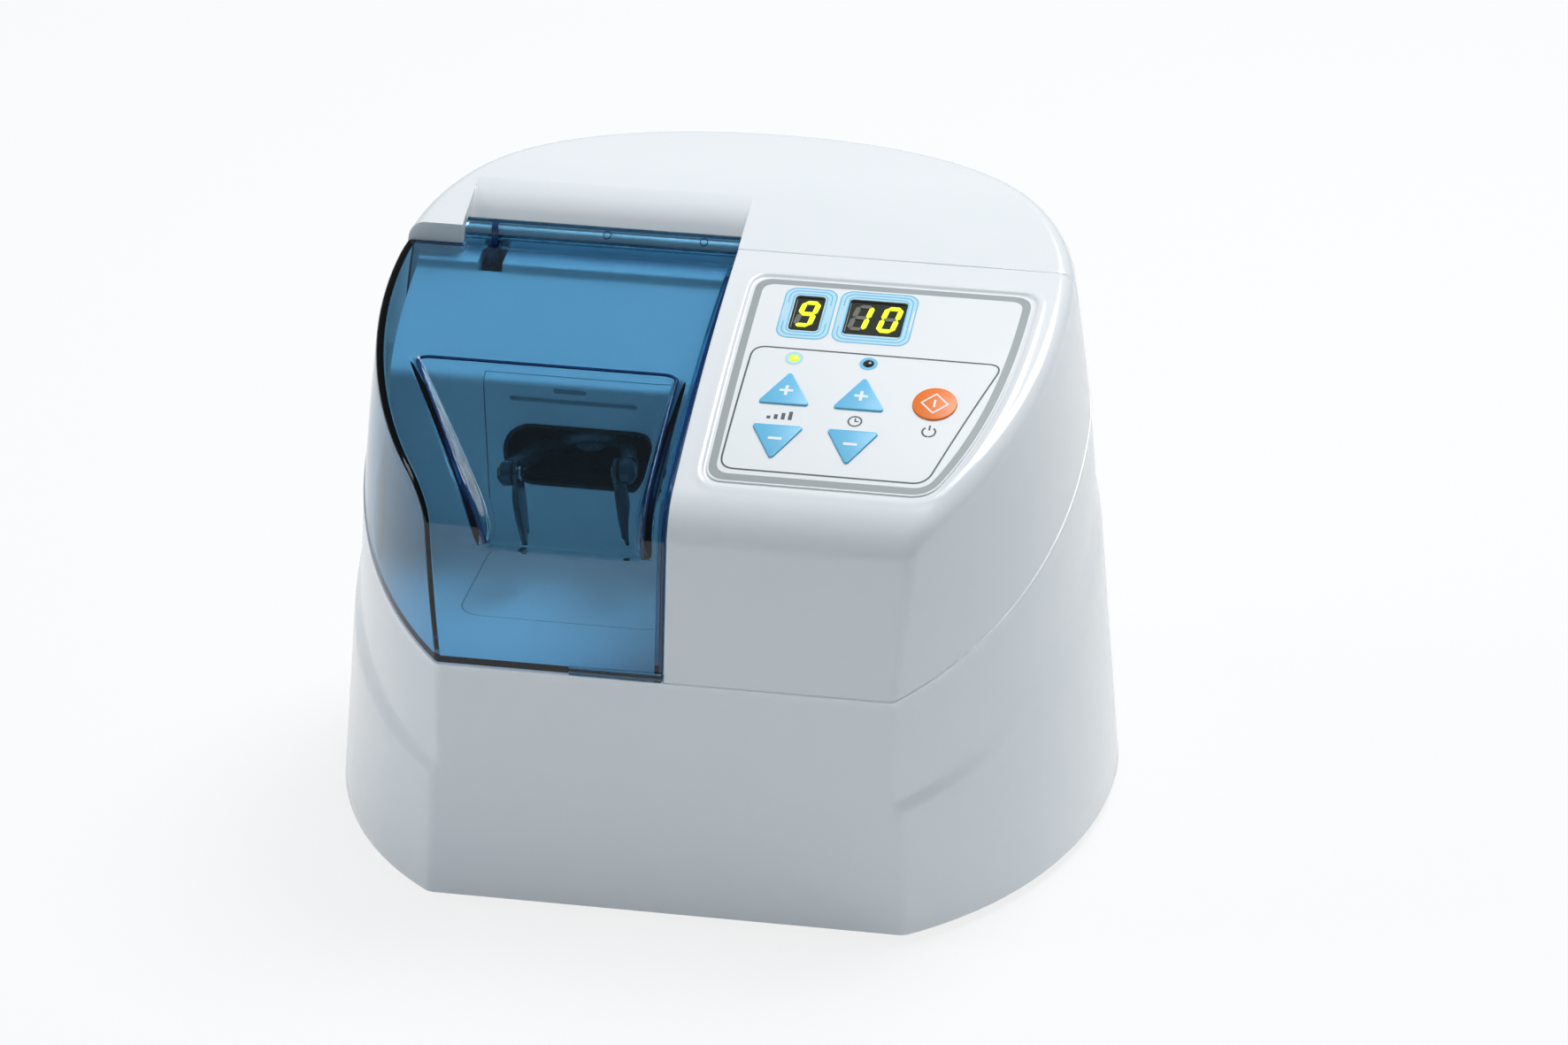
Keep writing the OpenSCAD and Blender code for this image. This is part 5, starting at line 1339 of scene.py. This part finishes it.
def buildPanel():
    p, q = panelSize, printSize
    holes = [onPlace(keyLoop(k["kind"], keySize["gap"]), k) for k in keys]
    holes += [onPlace(roundRect(0, 0, w["w"] + 0.1, 15.5, 1.3), w) for w in displays]
    holes += [onPlace(circleLoop(0, 0, 1.6, 28), lamp) for lamp in lamps]
    film = newShell()
    addSheet(film, panelOutline(q["film"]), holes,
             panelLift(p["film"] - p["filmThick"], p["film"]), step=3.0)
    makePiece("panelFilm", film, "case", "panel_film", ["panel_sheet"])

    border = newShell()
    outer, *inner = q["border"]
    addPrint(border, panelOutline(outer), holes=[panelOutline(*inner)[::-1]], step=3.0)
    makePiece("printBorder", border, "case", "panel_film", look=printLooks["grey"])

    frameLine = newShell()
    corner, half = q["line"]
    outer = denseLoop(roundedLoop([(*point, corner) for point in innerLine], 8))
    addPrint(frameLine, growLoop(outer, half), holes=[growLoop(outer, -half)], step=0)
    for kind, x, y in q["signs"]:
        addPictogram(frameLine, x, y, kind)
    makePiece("printLines", frameLine, "case", "panel_film", look=printLooks["dark"])

    sky, paleInkAndLampGlow = newShell(), newShell()
    for window in displays:
        w, h = window["w"] + window["halo"][0], window["halo"][1]
        addPrint(paleInkAndLampGlow, roundRect(0, 0, w, h, q["halo"]), window,
                 [roundRect(0, 0, window["w"] + 0.2, 15.6, 1.3)], step=3.0)
        for grow in q["rings"]:
            outer, inner = (roundRect(0, 0, w + 2 * (grow - thin), h + 2 * (grow - thin),
                                      q["halo"] + grow * 0.6 - thin) for thin in (0, q["ring"]))
            addPrint(sky, outer, window, [inner], level=2, step=0)
    # Painted light: the lit lamp's ring is in the pale ink as the lamp's glow on the film; the
    # dark lamp's ring is the sky blue print.
    outer, inner = q["lamp"]
    for lamp in lamps:
        addPrint(paleInkAndLampGlow if lamp["lit"] else sky, circleLoop(0, 0, outer, 40), lamp,
                 [circleLoop(0, 0, inner, 28)], level=2, step=0)
    makePiece("printSky", sky, "case", "panel_film", look=printLooks["sky"])
    makePiece("printPaleAndLampGlow", paleInkAndLampGlow, "case", "panel_film", look=printLooks["paleInkAndLampGlow"])


def addPictogram(shell, x, y, kind, grow=1.2):
    place = dict(x=x, y=y)

    def bar(x0, y0, x1, y1, w):
        line = [(x0, y0), ((x0 + x1) / 2, (y0 + y1) / 2), (x1, y1)]
        addPrint(shell, strokeLoop(line, w) * grow, place, step=0)

    if kind == "speed":
        for k, high in enumerate((0.9, 1.5, 2.1, 2.7)):
            bar(-2.6 + 1.7 * k, -1.2, -2.6 + 1.7 * k, -1.2 + high, 0.9)
    elif kind == "time":
        addPrint(shell, circleLoop(0, 0, 1.75 * grow, 32), place,
                 [circleLoop(0, 0, 1.35 * grow, 32)], step=0)
        bar(0, -0.1, 0, 1.1, 0.35)
        bar(-0.1, 0, 0.85, 0, 0.35)
    else:
        for side in (-1, 1):
            arc = arcPoints(0, 0, 1.55, 90 - side * 38, 90 - side * 178)
            addPrint(shell, strokeLoop(arc, 0.45) * grow, place, step=0)
        bar(0, 0.5, 0, 2.1, 0.45)


buildPanel()
print("panel built")


# Keys: soft-edged caps with a collar under the housing, a stem and a printed sign.
def buildKeys():
    size = keySize
    for key in keys:
        shell = newShell()
        kind, rise, edge = key["kind"], size["rise"], size["edge"]
        tilt = math.atan(topSlope(key["y"]))
        origin = np.array([key["x"], key["y"], topZ(key["y"])])
        axes = np.array([(1, 0, 0), (0, math.cos(tilt), math.sin(tilt)),
                         (0, -math.sin(tilt), math.cos(tilt))])

        def onKey(loop, lift):
            return origin + np.asarray(loop, float) @ axes[:2] + lift * axes[2]

        levels = [(-4.0, 0.0), (-1.2, 0.0), (rise - edge, 0.0), (rise - 0.5 * edge, -0.03),
                  (rise - 0.15 * edge, -0.08), (rise, -0.2)]
        addRod(shell, [onKey(keyLoop(kind, grow), lift) for lift, grow in levels])
        grow, *ends = size["collar"]
        addRod(shell, [onKey(keyLoop(kind, grow), lift) for lift in ends])
        radius, *ends = size["stem"]
        addRod(shell, [onKey(circleLoop(0, 0, radius, 20), lift) for lift in ends])
        slot = "key_orange" if kind == 0 else "key_blue"
        makePiece(key["name"].replace("key_", "keyCap_"), shell, key["name"], slot,
                  [key["name"]], sharp=50)

        def signMap(points, layer):
            return onKey(points, rise + size["sign"] * (2 * layer - 1))

        sign = newShell()
        if kind == 0:
            outer, inner = (np.array([(r, 0), (0, r), (-r, 0), (0, -r)])
                            for r in size["diamond"])
            addSheet(sign, outer, [inner], signMap)
            addSheet(sign, roundRect(*size["stroke"]), [], signMap)
        elif kind < 0:
            addSheet(sign, roundRect(*size["bar"]), [], signMap)
        else:
            a, b, low = size["plus"]
            addSheet(sign, np.array([
                (-a, -b), (-b, -b), (-b, -a), (b, -a), (b, -b), (a, -b), (a, b), (b, b), (b, a),
                (-b, a), (-b, b), (-a, b)]) - (0, low), [], signMap)
        makePiece(key["name"].replace("key_", "keySign_"), sign, key["name"], slot,
                  look=printLooks["white"])


buildKeys()


# Displays: smoked windows with leaning seven-segment digits, and two lamps.
digitSize = dict(w=5.4, h=11.4, bar=1.4, lean=0.14, gap=0.14, low=-0.62, face=-0.42,
                 window=15.4, rim=1.1)
lampSize = dict(radius=1.45, base=-8.0, brim=-0.5, rise=0.85)
segments = {"a": (0, 1, 1, 1), "d": (0, -1, 1, -1), "g": (0, 0, 1, 0), "f": (0, 1, 0, 0),
            "b": (1, 1, 1, 0), "e": (0, 0, 0, -1), "c": (1, 0, 1, -1)}
digitSets = {"0": "abcdef", "1": "bc", "9": "abcdfg"}


def segmentLoop(name, cx):
    d = digitSize
    x0, y0, x1, y1 = segments[name]
    w, h = d["w"] / 2 - d["bar"] / 2, d["h"] / 2 - d["bar"] / 2
    a = np.array([(2 * x0 - 1) * w, y0 * h])
    b = np.array([(2 * x1 - 1) * w, y1 * h])
    along = (b - a) / np.linalg.norm(b - a)
    across = np.array([-along[1], along[0]]) * d["bar"] / 2
    a, b = a + along * d["gap"], b - along * d["gap"]
    tip = along * d["bar"] / 2
    loop = np.array([a, a + tip - across, b - tip - across, b, b - tip + across, a + tip + across])
    loop[:, 0] += cx + loop[:, 1] * d["lean"]
    return loop


def buildDisplays():
    d = digitSize
    lit, unlit = newShell(), newShell()
    for window, node, digits in ((displays[0], "display_speed", ((0.0, "9"),)),
                                 (displays[1], "display_timer", ((-4.2, "1"), (4.2, "0")))):
        body = newShell()
        outer = onPlace(roundRect(0, 0, window["w"], d["window"], 1.2), window)
        inner = roundRect(0, 0, window["w"] - d["rim"], d["window"] - d["rim"], 0.9)
        addSheet(body, outer, [], panelLift(-9, d["low"]))
        addSheet(body, outer, [onPlace(inner, window)], panelLift(d["low"] - 0.1, -0.3))
        makePiece(node.replace("display_", "displayWindow_"), body, "case", "display_dark",
                  [node])
        for cx, digit in digits:
            for name in segments:
                shell = lit if name in digitSets[digit] else unlit
                addSheet(shell, onPlace(segmentLoop(name, cx), window), [],
                         panelLift(d["low"] - 0.05, d["face"] + (0.04 if shell is lit else 0)))
    makePiece("digitsLit", lit, "case", "display_dark", look=printLooks["lit"])
    makePiece("digitsUnlit", unlit, "case", "display_dark", look=printLooks["unlit"])

    r, base, brim, rise = lampSize.values()
    for lamp in lamps:
        arc = np.radians(np.linspace(0, 84, 8))
        heights = [(r, base)] + [(r * math.cos(a), brim + rise * math.sin(a)) for a in arc]
        shell = newShell()
        addRod(shell, [onPanel(onPlace(circleLoop(0, 0, radius, 28), lamp), lift)
                       for radius, lift in heights])
        if lamp["lit"]:
            makePiece("lampLit", shell, "case", "lamp", ["indicator_lamps"])
        else:
            makePiece("lampDark", shell, "case", "lamp", look=looks["display_dark"])


buildDisplays()
print("keys and displays built")


# Rocker fork: everything is drawn in the tilted bearing's own frame.
forkSize = dict(x=-38.0, y=18.0, z=105.0, tilt=6.0, hub=26.0, bore=21.0, half=6.0,
                reach=69.0, lift=5.0, gap=28.4, plate=1.0,
                neck=((0, -22.8, 2), (0, -30, 2), (0, -36, 2.6), (0, -39, 3.4)),
                arm=((-3.0, -37.4, 2.8), (9, -37.2, 2.4), (12.6, -39.4, 1.6), (13.0, -49, 2.6),
                     (17.6, -65, 5.0)),
                stub=((0, 0.01, -25.0), (0, 0.02, -30), (0, 0.0, -37.4)),
                ends=((3.6, 0.0, 4.5, 0.9), (2.2, 4.0, 5.1, 0.4)),
                rivets=((2.2, -0.85, 0.05, 0.35), (1.25, 0.0, 5.6, 0.2), (2.0, 5.1, 5.75, 0.25)))


def tilted(points):
    a = math.radians(forkSize["tilt"])
    points = np.asarray(points, float)
    x = points[..., 0] * math.cos(a) - points[..., 2] * math.sin(a)
    z = points[..., 0] * math.sin(a) + points[..., 2] * math.cos(a)
    out = np.stack([x, points[..., 1], z], -1)
    return out + np.array([forkSize["x"], forkSize["y"], forkSize["z"]])


def addDisc(shell, centre, axisX, r, x0, x1, edge=0.0, hole=0.0):
    # A disc about the x axis, from x0 to x1, with softened edges.
    profile = [(x0, r - edge), (x0 + edge, r), (x1 - edge, r), (x1, r - edge)]
    if hole:
        profile = [(x0, hole)] + profile + [(x1, hole)]
    rings = tilted(np.array([
        np.array(centre) + np.insert(circleLoop(0, 0, 1, 40) * radius, 0, axisX * x, axis=1)
        for x, radius in profile]))
    if hole:
        addGrid(shell, rings, wrapCols=True, wrapRows=True)
    else:
        addRod(shell, rings)


clipSize = dict(length=24.0, wide=9.0, round=4.0, count=26, flare=0.6, dish=0.55, swell=2.1,
                bead=0.42, beads=((0.4, 3.7, 3), (0.9, 5.0, 8), (0.6, 4.2, 14), (0.4, 2.2, 20)))


def buildClip(side, node):
    f, c = forkSize, clipSize
    clip = newShell()
    x0, y0, z0 = side * f["gap"] / 2, -f["reach"], f["lift"]
    length, r = c["length"], c["round"]
    rings = []
    for t in np.linspace(0, 1, c["count"]):
        z = r - t * (length + r + 0.2)
        if z > 0:
            half = math.sqrt(max(r * r - z * z, 0.16))
        else:
            s = -z / length
            belly = 1.7 * math.sin(math.pi * min(s * 1.08, 1)) * (0.4 + 0.6 * s)
            half = r * (1 - s) ** 0.55 + belly
        half = min(max(half, 0.35), c["wide"] / 2)
        flare = side * c["flare"] * smooth(np.array((t - 0.72) / 0.28))
        dish = side * 0.25 * c["dish"] * math.sin(math.pi * t)
        along = min(max(-z / length, 0.0), 1.0)
        swell = c["swell"] * math.sin(math.pi * along ** 0.8) ** 0.8
        front = [(x0 + flare - dish * (1 - u * u), y0 + u * half, z0 + z)
                 for u in np.linspace(-1, 1, 13)]
        back = [(x0 + flare + side * (f["plate"] * 0.94 + swell * (1 - u * u) ** 0.7)
                 - dish * (1 - u * u), y0 + u * half, z0 + z) for u in np.linspace(1, -1, 13)]
        rings.append(front + back)
    addRod(clip, tilted(np.array(rings)[:, ::side]))
    for t in (-1, 1):
        path = curvePath([(x0 + side * out, y0 + t * across, z0 - down)
                          for out, across, down in c["beads"]], 14)
        addTube(clip, path, [(c["bead"], c["bead"])] * 14, tilted, around=10)
    makePiece(node.replace("capsule_clip_", "capsuleClip_"), clip, "rocker", "fork_dark", [node])


def buildFork():
    f = forkSize
    share = np.linspace(0, 1, 24)
    arm, rivets = newShell(), newShell()
    addDisc(arm, (0, 0, 0), 1, f["hub"], -f["half"], f["half"], 1.2, hole=f["bore"])
    addTube(arm, curvePath(f["neck"]), [(5.6 - 0.6 * t, 5.0) for t in share], tilted,
            square=3.2)
    for side in (-1, 1):
        path = curvePath([(side * x, y, z) for x, y, z in f["arm"]])
        addTube(arm, path, [(2.5 - 0.1 * t, 3.0 - 0.5 * t) for t in share], tilted, square=2.3)
        inner = side * f["gap"] / 2
        for disc in f["ends"]:
            addDisc(arm, (inner + side * f["plate"], -f["reach"], f["lift"]), side, *disc)
        for disc in f["rivets"]:
            addDisc(rivets, (inner, -f["reach"], f["lift"]), side, *disc)
    addTube(arm, curvePath(f["stub"], 8), [(3, 3)] * 8, tilted, square=4.0)
    makePiece("rockerFork", arm, "rocker", "fork_dark", ["rocker_arm"])
    buildClip(-1, "capsule_clip_left")
    buildClip(1, "capsule_clip_right")
    makePiece("clipRivets", rivets, "rocker", "steel", ["clip_rivets"])


buildFork()


# Repeated parts come from node trees with named inputs.
def makeTree(name, inputs):
    tree = bpy.data.node_groups.new(name, "GeometryNodeTree")
    face = tree.interface
    sockets = {}
    for label, kind, value in [("Geometry", "Geometry", None), *inputs,
                               ("Finish", "Material", None)]:
        socket = face.new_socket(name=label, in_out="INPUT", socket_type="NodeSocket" + kind)
        if value is not None:
            socket.default_value = value
        sockets[label] = socket.identifier
    face.new_socket(name="Geometry", in_out="OUTPUT", socket_type="NodeSocketGeometry")
    return tree, sockets, tree.nodes.new("NodeGroupInput").outputs


def endTree(tree, source, geometry):
    real = addNode(tree, "GeometryNodeRealizeInstances", {"Geometry": geometry})
    paint = addNode(tree, "GeometryNodeSetMaterial", {
        "Geometry": real.outputs["Geometry"], "Material": source["Finish"]})
    addNode(tree, "NodeGroupOutput", {"Geometry": paint.outputs["Geometry"]})


def bakeTree(tree, sockets, values, base=None):
    mesh = base or bpy.data.meshes.new("seed")
    item = bpy.data.objects.new("seed", mesh)
    scene.collection.objects.link(item)
    change = item.modifiers.new("tree", "NODES")
    change.node_group = tree
    for label, value in values.items():
        change[sockets[label]] = value
    graph = bpy.context.evaluated_depsgraph_get()
    result = bpy.data.meshes.new_from_object(item.evaluated_get(graph))
    bpy.data.objects.remove(item)
    return result


def makeSpringTree():
    tree, sockets, source = makeTree("coilSpring", [
        ("Turns", "Float", 7.0), ("Coil Radius", "Float", 0.0032), ("Length", "Float", 0.015),
        ("Wire Radius", "Float", 0.0004), ("Start", "Vector", None), ("Turn", "Rotation", None)])
    spiral = addNode(tree, "GeometryNodeCurveSpiral", {
        "Resolution": 20, "Rotations": source["Turns"], "Start Radius": source["Coil Radius"],
        "End Radius": source["Coil Radius"], "Height": source["Length"]})
    wire = addNode(tree, "GeometryNodeCurvePrimitiveCircle", {
        "Resolution": 9, "Radius": source["Wire Radius"]})
    tube = addNode(tree, "GeometryNodeCurveToMesh", {
        "Fill Caps": True, "Curve": spiral.outputs["Curve"],
        "Profile Curve": wire.outputs["Curve"]})
    move = addNode(tree, "GeometryNodeTransform", {
        "Geometry": tube.outputs["Mesh"], "Translation": source["Start"],
        "Rotation": source["Turn"]})
    endTree(tree, source, move.outputs["Geometry"])
    return tree, sockets


springSize = dict(turns=6.5, coil=3.0, wire=0.42, z=72.0, ends=((-2.0, -3.2), (38.0, 3.2)))


def buildSprings():
    s, f = springSize, forkSize
    tree, sockets = makeSpringTree()
    lugX = f["x"] + (f["z"] - s["z"]) * math.sin(math.radians(f["tilt"]))
    springs = []
    for postY, lugY in s["ends"]:
        start = np.array([f["x"], postY, s["z"]])
        span = np.array([lugX, f["y"] + lugY, s["z"]]) - start
        turn = Vector((0, 0, 1)).rotation_difference(Vector(span)).to_euler()
        springs.append(bakeTree(tree, sockets, {
            "Turns": s["turns"], "Coil Radius": s["coil"] / 1000,
            "Length": float(np.linalg.norm(span)) / 1000, "Wire Radius": s["wire"] / 1000,
            "Start": tuple(toMetres(start)), "Turn": tuple(turn), "Finish": looks["steel"]}))
    whole = joinMeshes(springs)
    makePiece("rockerSprings", whole, "rocker", "steel", ["rocker_springs"])


def joinMeshes(meshes):
    bm = bmesh.new()
    for mesh in meshes:
        bm.from_mesh(mesh)
    out = bpy.data.meshes.new("joined")
    bm.to_mesh(out)
    bm.free()
    return out


buildSprings()


cornerNames = ("Front Left", "Front Right", "Rear Left", "Rear Right")


def makeCopyTree():
    tree, sockets, source = makeTree("fourPlaces", [(n, "Vector", None) for n in cornerNames])
    join = addNode(tree, "GeometryNodeJoinGeometry")
    for name in cornerNames:
        move = addNode(tree, "GeometryNodeTransform", {
            "Geometry": source["Geometry"], "Translation": source[name]})
        tree.links.new(move.outputs["Geometry"], join.inputs["Geometry"])
    endTree(tree, source, join.outputs["Geometry"])
    return tree, sockets


footSize = dict(radius=8.0, height=2.5, round=0.9, recess=4.0, deep=1.5,
                places=((-74, -72), (74, -72), (-70, 52), (70, 52)))
screwSize = dict(head=3.0, shank=1.5, slot=(3.4, 0.7),
                 places=((-98, -50), (98, -50), (-86, 48), (86, 48)))


def lathe(profile, around=40):
    shell = newShell()
    loop = circleLoop(0, 0, 1, around)
    addGrid(shell, [np.insert(loop * r, 2, z, axis=1) for r, z in profile],
            wrapCols=True, wrapRows=True)
    return shell


def copyToCorners(mesh, places, name, slot, node):
    tree, sockets = makeCopyTree()
    spots = {corner: tuple(toMetres((x, y, 0))) for corner, (x, y) in zip(cornerNames, places)}
    mesh = bakeTree(tree, sockets, {**spots, "Finish": looks[slot]}, mesh)
    makePiece(name, mesh, "case", slot, [node])


def rawMesh(name, shell):
    # The same mesh without the shift to the row frame, for copies.
    shift = np.array(caseSize["shift"])
    shell["points"] = [points - shift for points in shell["points"]]
    return buildMesh(name, shell)


def buildFeet():
    f = footSize
    r, h, e = f["radius"], f["height"], f["round"]
    profile = [(f["recess"] + 0.3, 1.0), (r - 0.1, 1.0), (r - 0.15, 0.3), (r - 0.25, -h + e)]
    profile += [(r - 0.25 - e * (1 - math.cos(a)), -h + e * (1 - math.sin(a)))
                for a in np.radians((30, 60, 90))]
    profile += [(r - 2.2, -h), (r - 2.6, -h + 0.4), (r - 3.0, -h + 0.4), (r - 3.3, -h),
                (f["recess"] + 0.2, -h), (f["recess"], -h + 0.2), (f["recess"], -h + f["deep"]),
                (1.6, -h + f["deep"]), (1.6, 1.0)]
    copyToCorners(rawMesh("foot", lathe(profile)), f["places"], "rubberFeet", "rubber_black",
                  "rubber_feet")
    s = screwSize
    head = lathe([(0.02, -1.0), (s["head"] - 0.5, -1.0), (s["head"], -0.6), (s["head"], 0.75),
                  (s["head"] - 0.2, 0.98), (s["shank"], 1.0), (s["shank"], 12.0),
                  (0.02, 13.0)][::-1], 32)
    slots = []
    for w, h in (s["slot"], s["slot"][::-1]):
        slot = newShell()
        addSheet(slot, roundRect(0, 0, w, h, 0.15), [], extrude("z", -1.6, -0.3))
        slots.append(rawMesh("slot", slot))
    screw = combine(rawMesh("screw", head), slots)
    copyToCorners(screw, s["places"], "caseScrews", "steel", "case_screws")


buildFeet()
print("fork, springs and feet built")


# Rear inlet and switch
rearPartSize = dict(
    z=32.0, y=79.5, inletX=-16.0, switchX=20.0, socket=(12.1, 8.2, 4.0), rocker=(10.4, 8.2),
    pivot=-0.5, swing=14.0, face=((-4, -3, 0.4), (0.5, -7.6, 0.6), (3.4, -7.4, 0.7),
                                  (2.6, 0, 4.0), (3.4, 7.4, 0.7), (0.5, 7.6, 0.6), (-4, 3, 0.4)),
    inlet=(((31.0, 24.0), 2.5, 0, 2.5, True), ((27.0, 19.5), 1.5, -12.4, 0.01, True),
           ((27.0, 19.5), 1.5, -18, -12.3, False)),
    switch=(((15.0, 21.0), 1.6, 0, 2.5, True), ((13.0, 19.2), 0.8, -6.9, 0.01, True),
            ((13.0, 19.2), 0.8, -15, -6.8, False)))


def buildSocket(name, node, x, blocks, hole):
    # Each block has a size, a corner, a start and an end; the hole goes through some.
    s = rearPartSize
    shell = newShell()
    for size, corner, start, end, through in blocks:
        addSheet(shell, roundRect(x, s["z"], *size, corner), [hole] if through else [],
                 extrude("y", s["y"] + start, s["y"] + end))
    makePiece(name, shell, "case", "black_plastic", [node])


def buildRearParts():
    s = rearPartSize
    x, z, y = s["inletX"], s["z"], s["y"]
    w, h, c = s["socket"]
    socket = roundedLoop([(x + across, z + up, 1) for across, up in (
        (-w, -h), (w, -h), (w, h - c), (w - c, h), (c - w, h), (-w, h - c))], 5)
    buildSocket("mainsInlet", "power_inlet", x, s["inlet"], socket)
    x = s["switchX"]
    hole = roundRect(x, z, s["rocker"][0] + 0.6, 2 * s["rocker"][1] + 0.8, 0.8)
    buildSocket("switchBody", "switch_body", x, s["switch"], hole)
    w = s["rocker"][0]
    turn = math.radians(s["swing"] / 2)
    c, d = math.cos(turn), math.sin(turn)
    pivot = y + s["pivot"]
    outline = roundedLoop(s["face"], 7)
    turned = np.stack([pivot + outline[:, 0] * c - outline[:, 1] * d,
                       z + outline[:, 0] * d + outline[:, 1] * c], 1)
    shell = newShell()
    addSheet(shell, turned, [], extrude("x", x - w / 2, x + w / 2), layers=(0, 0.5, 1))
    makePiece("switchRocker", shell, "switch_rocker", "red_rocker", ["switch_rocker"])
    signs = newShell()

    def onFace(points, layer):
        # Lays a flat sign on the hollow face of the rocker.
        v = points[:, 1]
        u = 2.72 + np.abs(v) * 0.085 + 0.06 * layer
        return np.stack([x + points[:, 0], pivot + u * c - v * d, z + u * d + v * c], 1)

    addSheet(signs, roundRect(0, 4.2, 0.6, 3.0, 0.2), [], onFace)
    addSheet(signs, circleLoop(0, -4.2, 1.7, 30), [circleLoop(0, -4.2, 1.2, 30)], onFace)
    makePiece("switchSigns", signs, "switch_rocker", "red_rocker", look=printLooks["white"])


buildRearParts()
print("rear parts built")


# Carried-over nodes keep their shape and take the finish of their slot.
nodeLooks = dict(
    pin_steel="hinge_pin",
    steel_sheet="base_plate",
    steel="foot_screws board_screws isolator_screws drive_shaft eccentric_hub "
          "counterweights inlet_pins interlock_lever",
    board_green="control_board power_board",
    black_plastic="tact_switches",
    cast_frame="drive_frame motor_front_bell motor_rear_bell",
    rubber_spring="isolators",
    motor_metal="motor_can",
    magnet="field_magnets",
    copper="armature",
    bronze="shaft_bushes",
    bearing_steel="bearing_inner_ring bearing_balls bearing_outer_ring",
    core_steel="transformer_core",
    winding_tape="transformer_coil",
    component_dark="board_components interlock_switch",
    cable_grey="ribbon_cable")
for slot, names in nodeLooks.items():
    for name in names.split():
        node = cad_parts[name]
        if len(node.data.materials) == 0:
            node.data.materials.append(looks[slot])
        for place in node.material_slots:
            place.material = looks[slot]
print("node finishes set")


# Floor, world and lamps
stageSize = dict(half=12.0, colour=(0.86, 0.87, 0.88, 1), rough=0.7, seenWhite=0.8)
lampSet = dict(world=0.35, mirrored=0.13, tint=(0.80, 0.92, 1.0), aim=(0, 0, 0.08), lamps=(
    dict(name="topSoftbox", at=(0.30, 0.52, 1.5), size=(0.64, 0.8), power=18.2),
    dict(name="rightSoftbox", at=(1.8, 0.35, 0.75), size=(0.3, 1.3), power=0.25),
    dict(name="leftSoftbox", at=(-1.7, -0.3, 1.3), size=(0.6, 1.2), power=6.0)))


def mixOf(tree, share, first, second):
    return addNode(tree, "ShaderNodeMixShader", {"Fac": share, 1: first, 2: second}).outputs[0]


def addFloor():
    s = stageSize
    r = s["half"]
    mesh = bpy.data.meshes.new("floor")
    mesh.from_pydata([(-r, -r, 0), (r, -r, 0), (r, r, 0), (-r, r, 0)], [], [(0, 1, 2, 3)])
    floor = bpy.data.objects.new("floor", mesh)
    scene.collection.objects.link(floor)
    material = bpy.data.materials.new("paleFloor")
    material.use_nodes = True
    tree = material.node_tree
    base = tree.nodes["Principled BSDF"]
    base.inputs["Base Color"].default_value = s["colour"]
    base.inputs["Roughness"].default_value = s["rough"]
    path = addNode(tree, "ShaderNodeLightPath").outputs
    seen = mathOf(tree, "MAXIMUM", path["Is Camera Ray"], path["Is Glossy Ray"])
    seen = mathOf(tree, "MAXIMUM", seen, path["Is Transmission Ray"])
    white = addNode(tree, "ShaderNodeEmission", {"Color": (1, 1, 1, 1)})
    end = mixOf(tree, mathOf(tree, "MULTIPLY", seen, s["seenWhite"]), base.outputs["BSDF"],
                white.outputs["Emission"])
    tree.links.new(end, tree.nodes["Material Output"].inputs["Surface"])
    mesh.materials.append(material)


def addWorld():
    world = bpy.data.worlds.new("studio")
    scene.world = world
    world.use_nodes = True
    tree = world.node_tree
    tint = (*lampSet["tint"], 1)
    soft = tree.nodes["Background"]
    soft.inputs["Color"].default_value = tint
    soft.inputs["Strength"].default_value = lampSet["world"]
    back = addNode(tree, "ShaderNodeBackground", {"Color": (1, 1, 1, 1)})
    dim = addNode(tree, "ShaderNodeBackground", {"Color": tint,
                                                 "Strength": lampSet["mirrored"]})
    path = addNode(tree, "ShaderNodeLightPath").outputs
    mirrored = mathOf(tree, "SUBTRACT", path["Is Glossy Ray"], path["Is Transmission Ray"])
    mirrored.node.use_clamp = True
    fill = mixOf(tree, mirrored, soft.outputs["Background"], dim.outputs["Background"])
    end = mixOf(tree, path["Is Camera Ray"], fill, back.outputs["Background"])
    tree.links.new(end, tree.nodes["World Output"].inputs["Surface"])


def addLamps():
    for item in lampSet["lamps"]:
        data = bpy.data.lights.new(item["name"], "AREA")
        data.shape = "RECTANGLE"
        data.size, data.size_y = item["size"]
        data.energy = item["power"]
        lamp = bpy.data.objects.new(item["name"], data)
        lamp.location = item["at"]
        aim = Vector(lampSet["aim"]) - Vector(item["at"])
        lamp.rotation_euler = aim.to_track_quat("-Z", "Y").to_euler()
        scene.collection.objects.link(lamp)


addFloor()
addWorld()
addLamps()

print("scene ready")
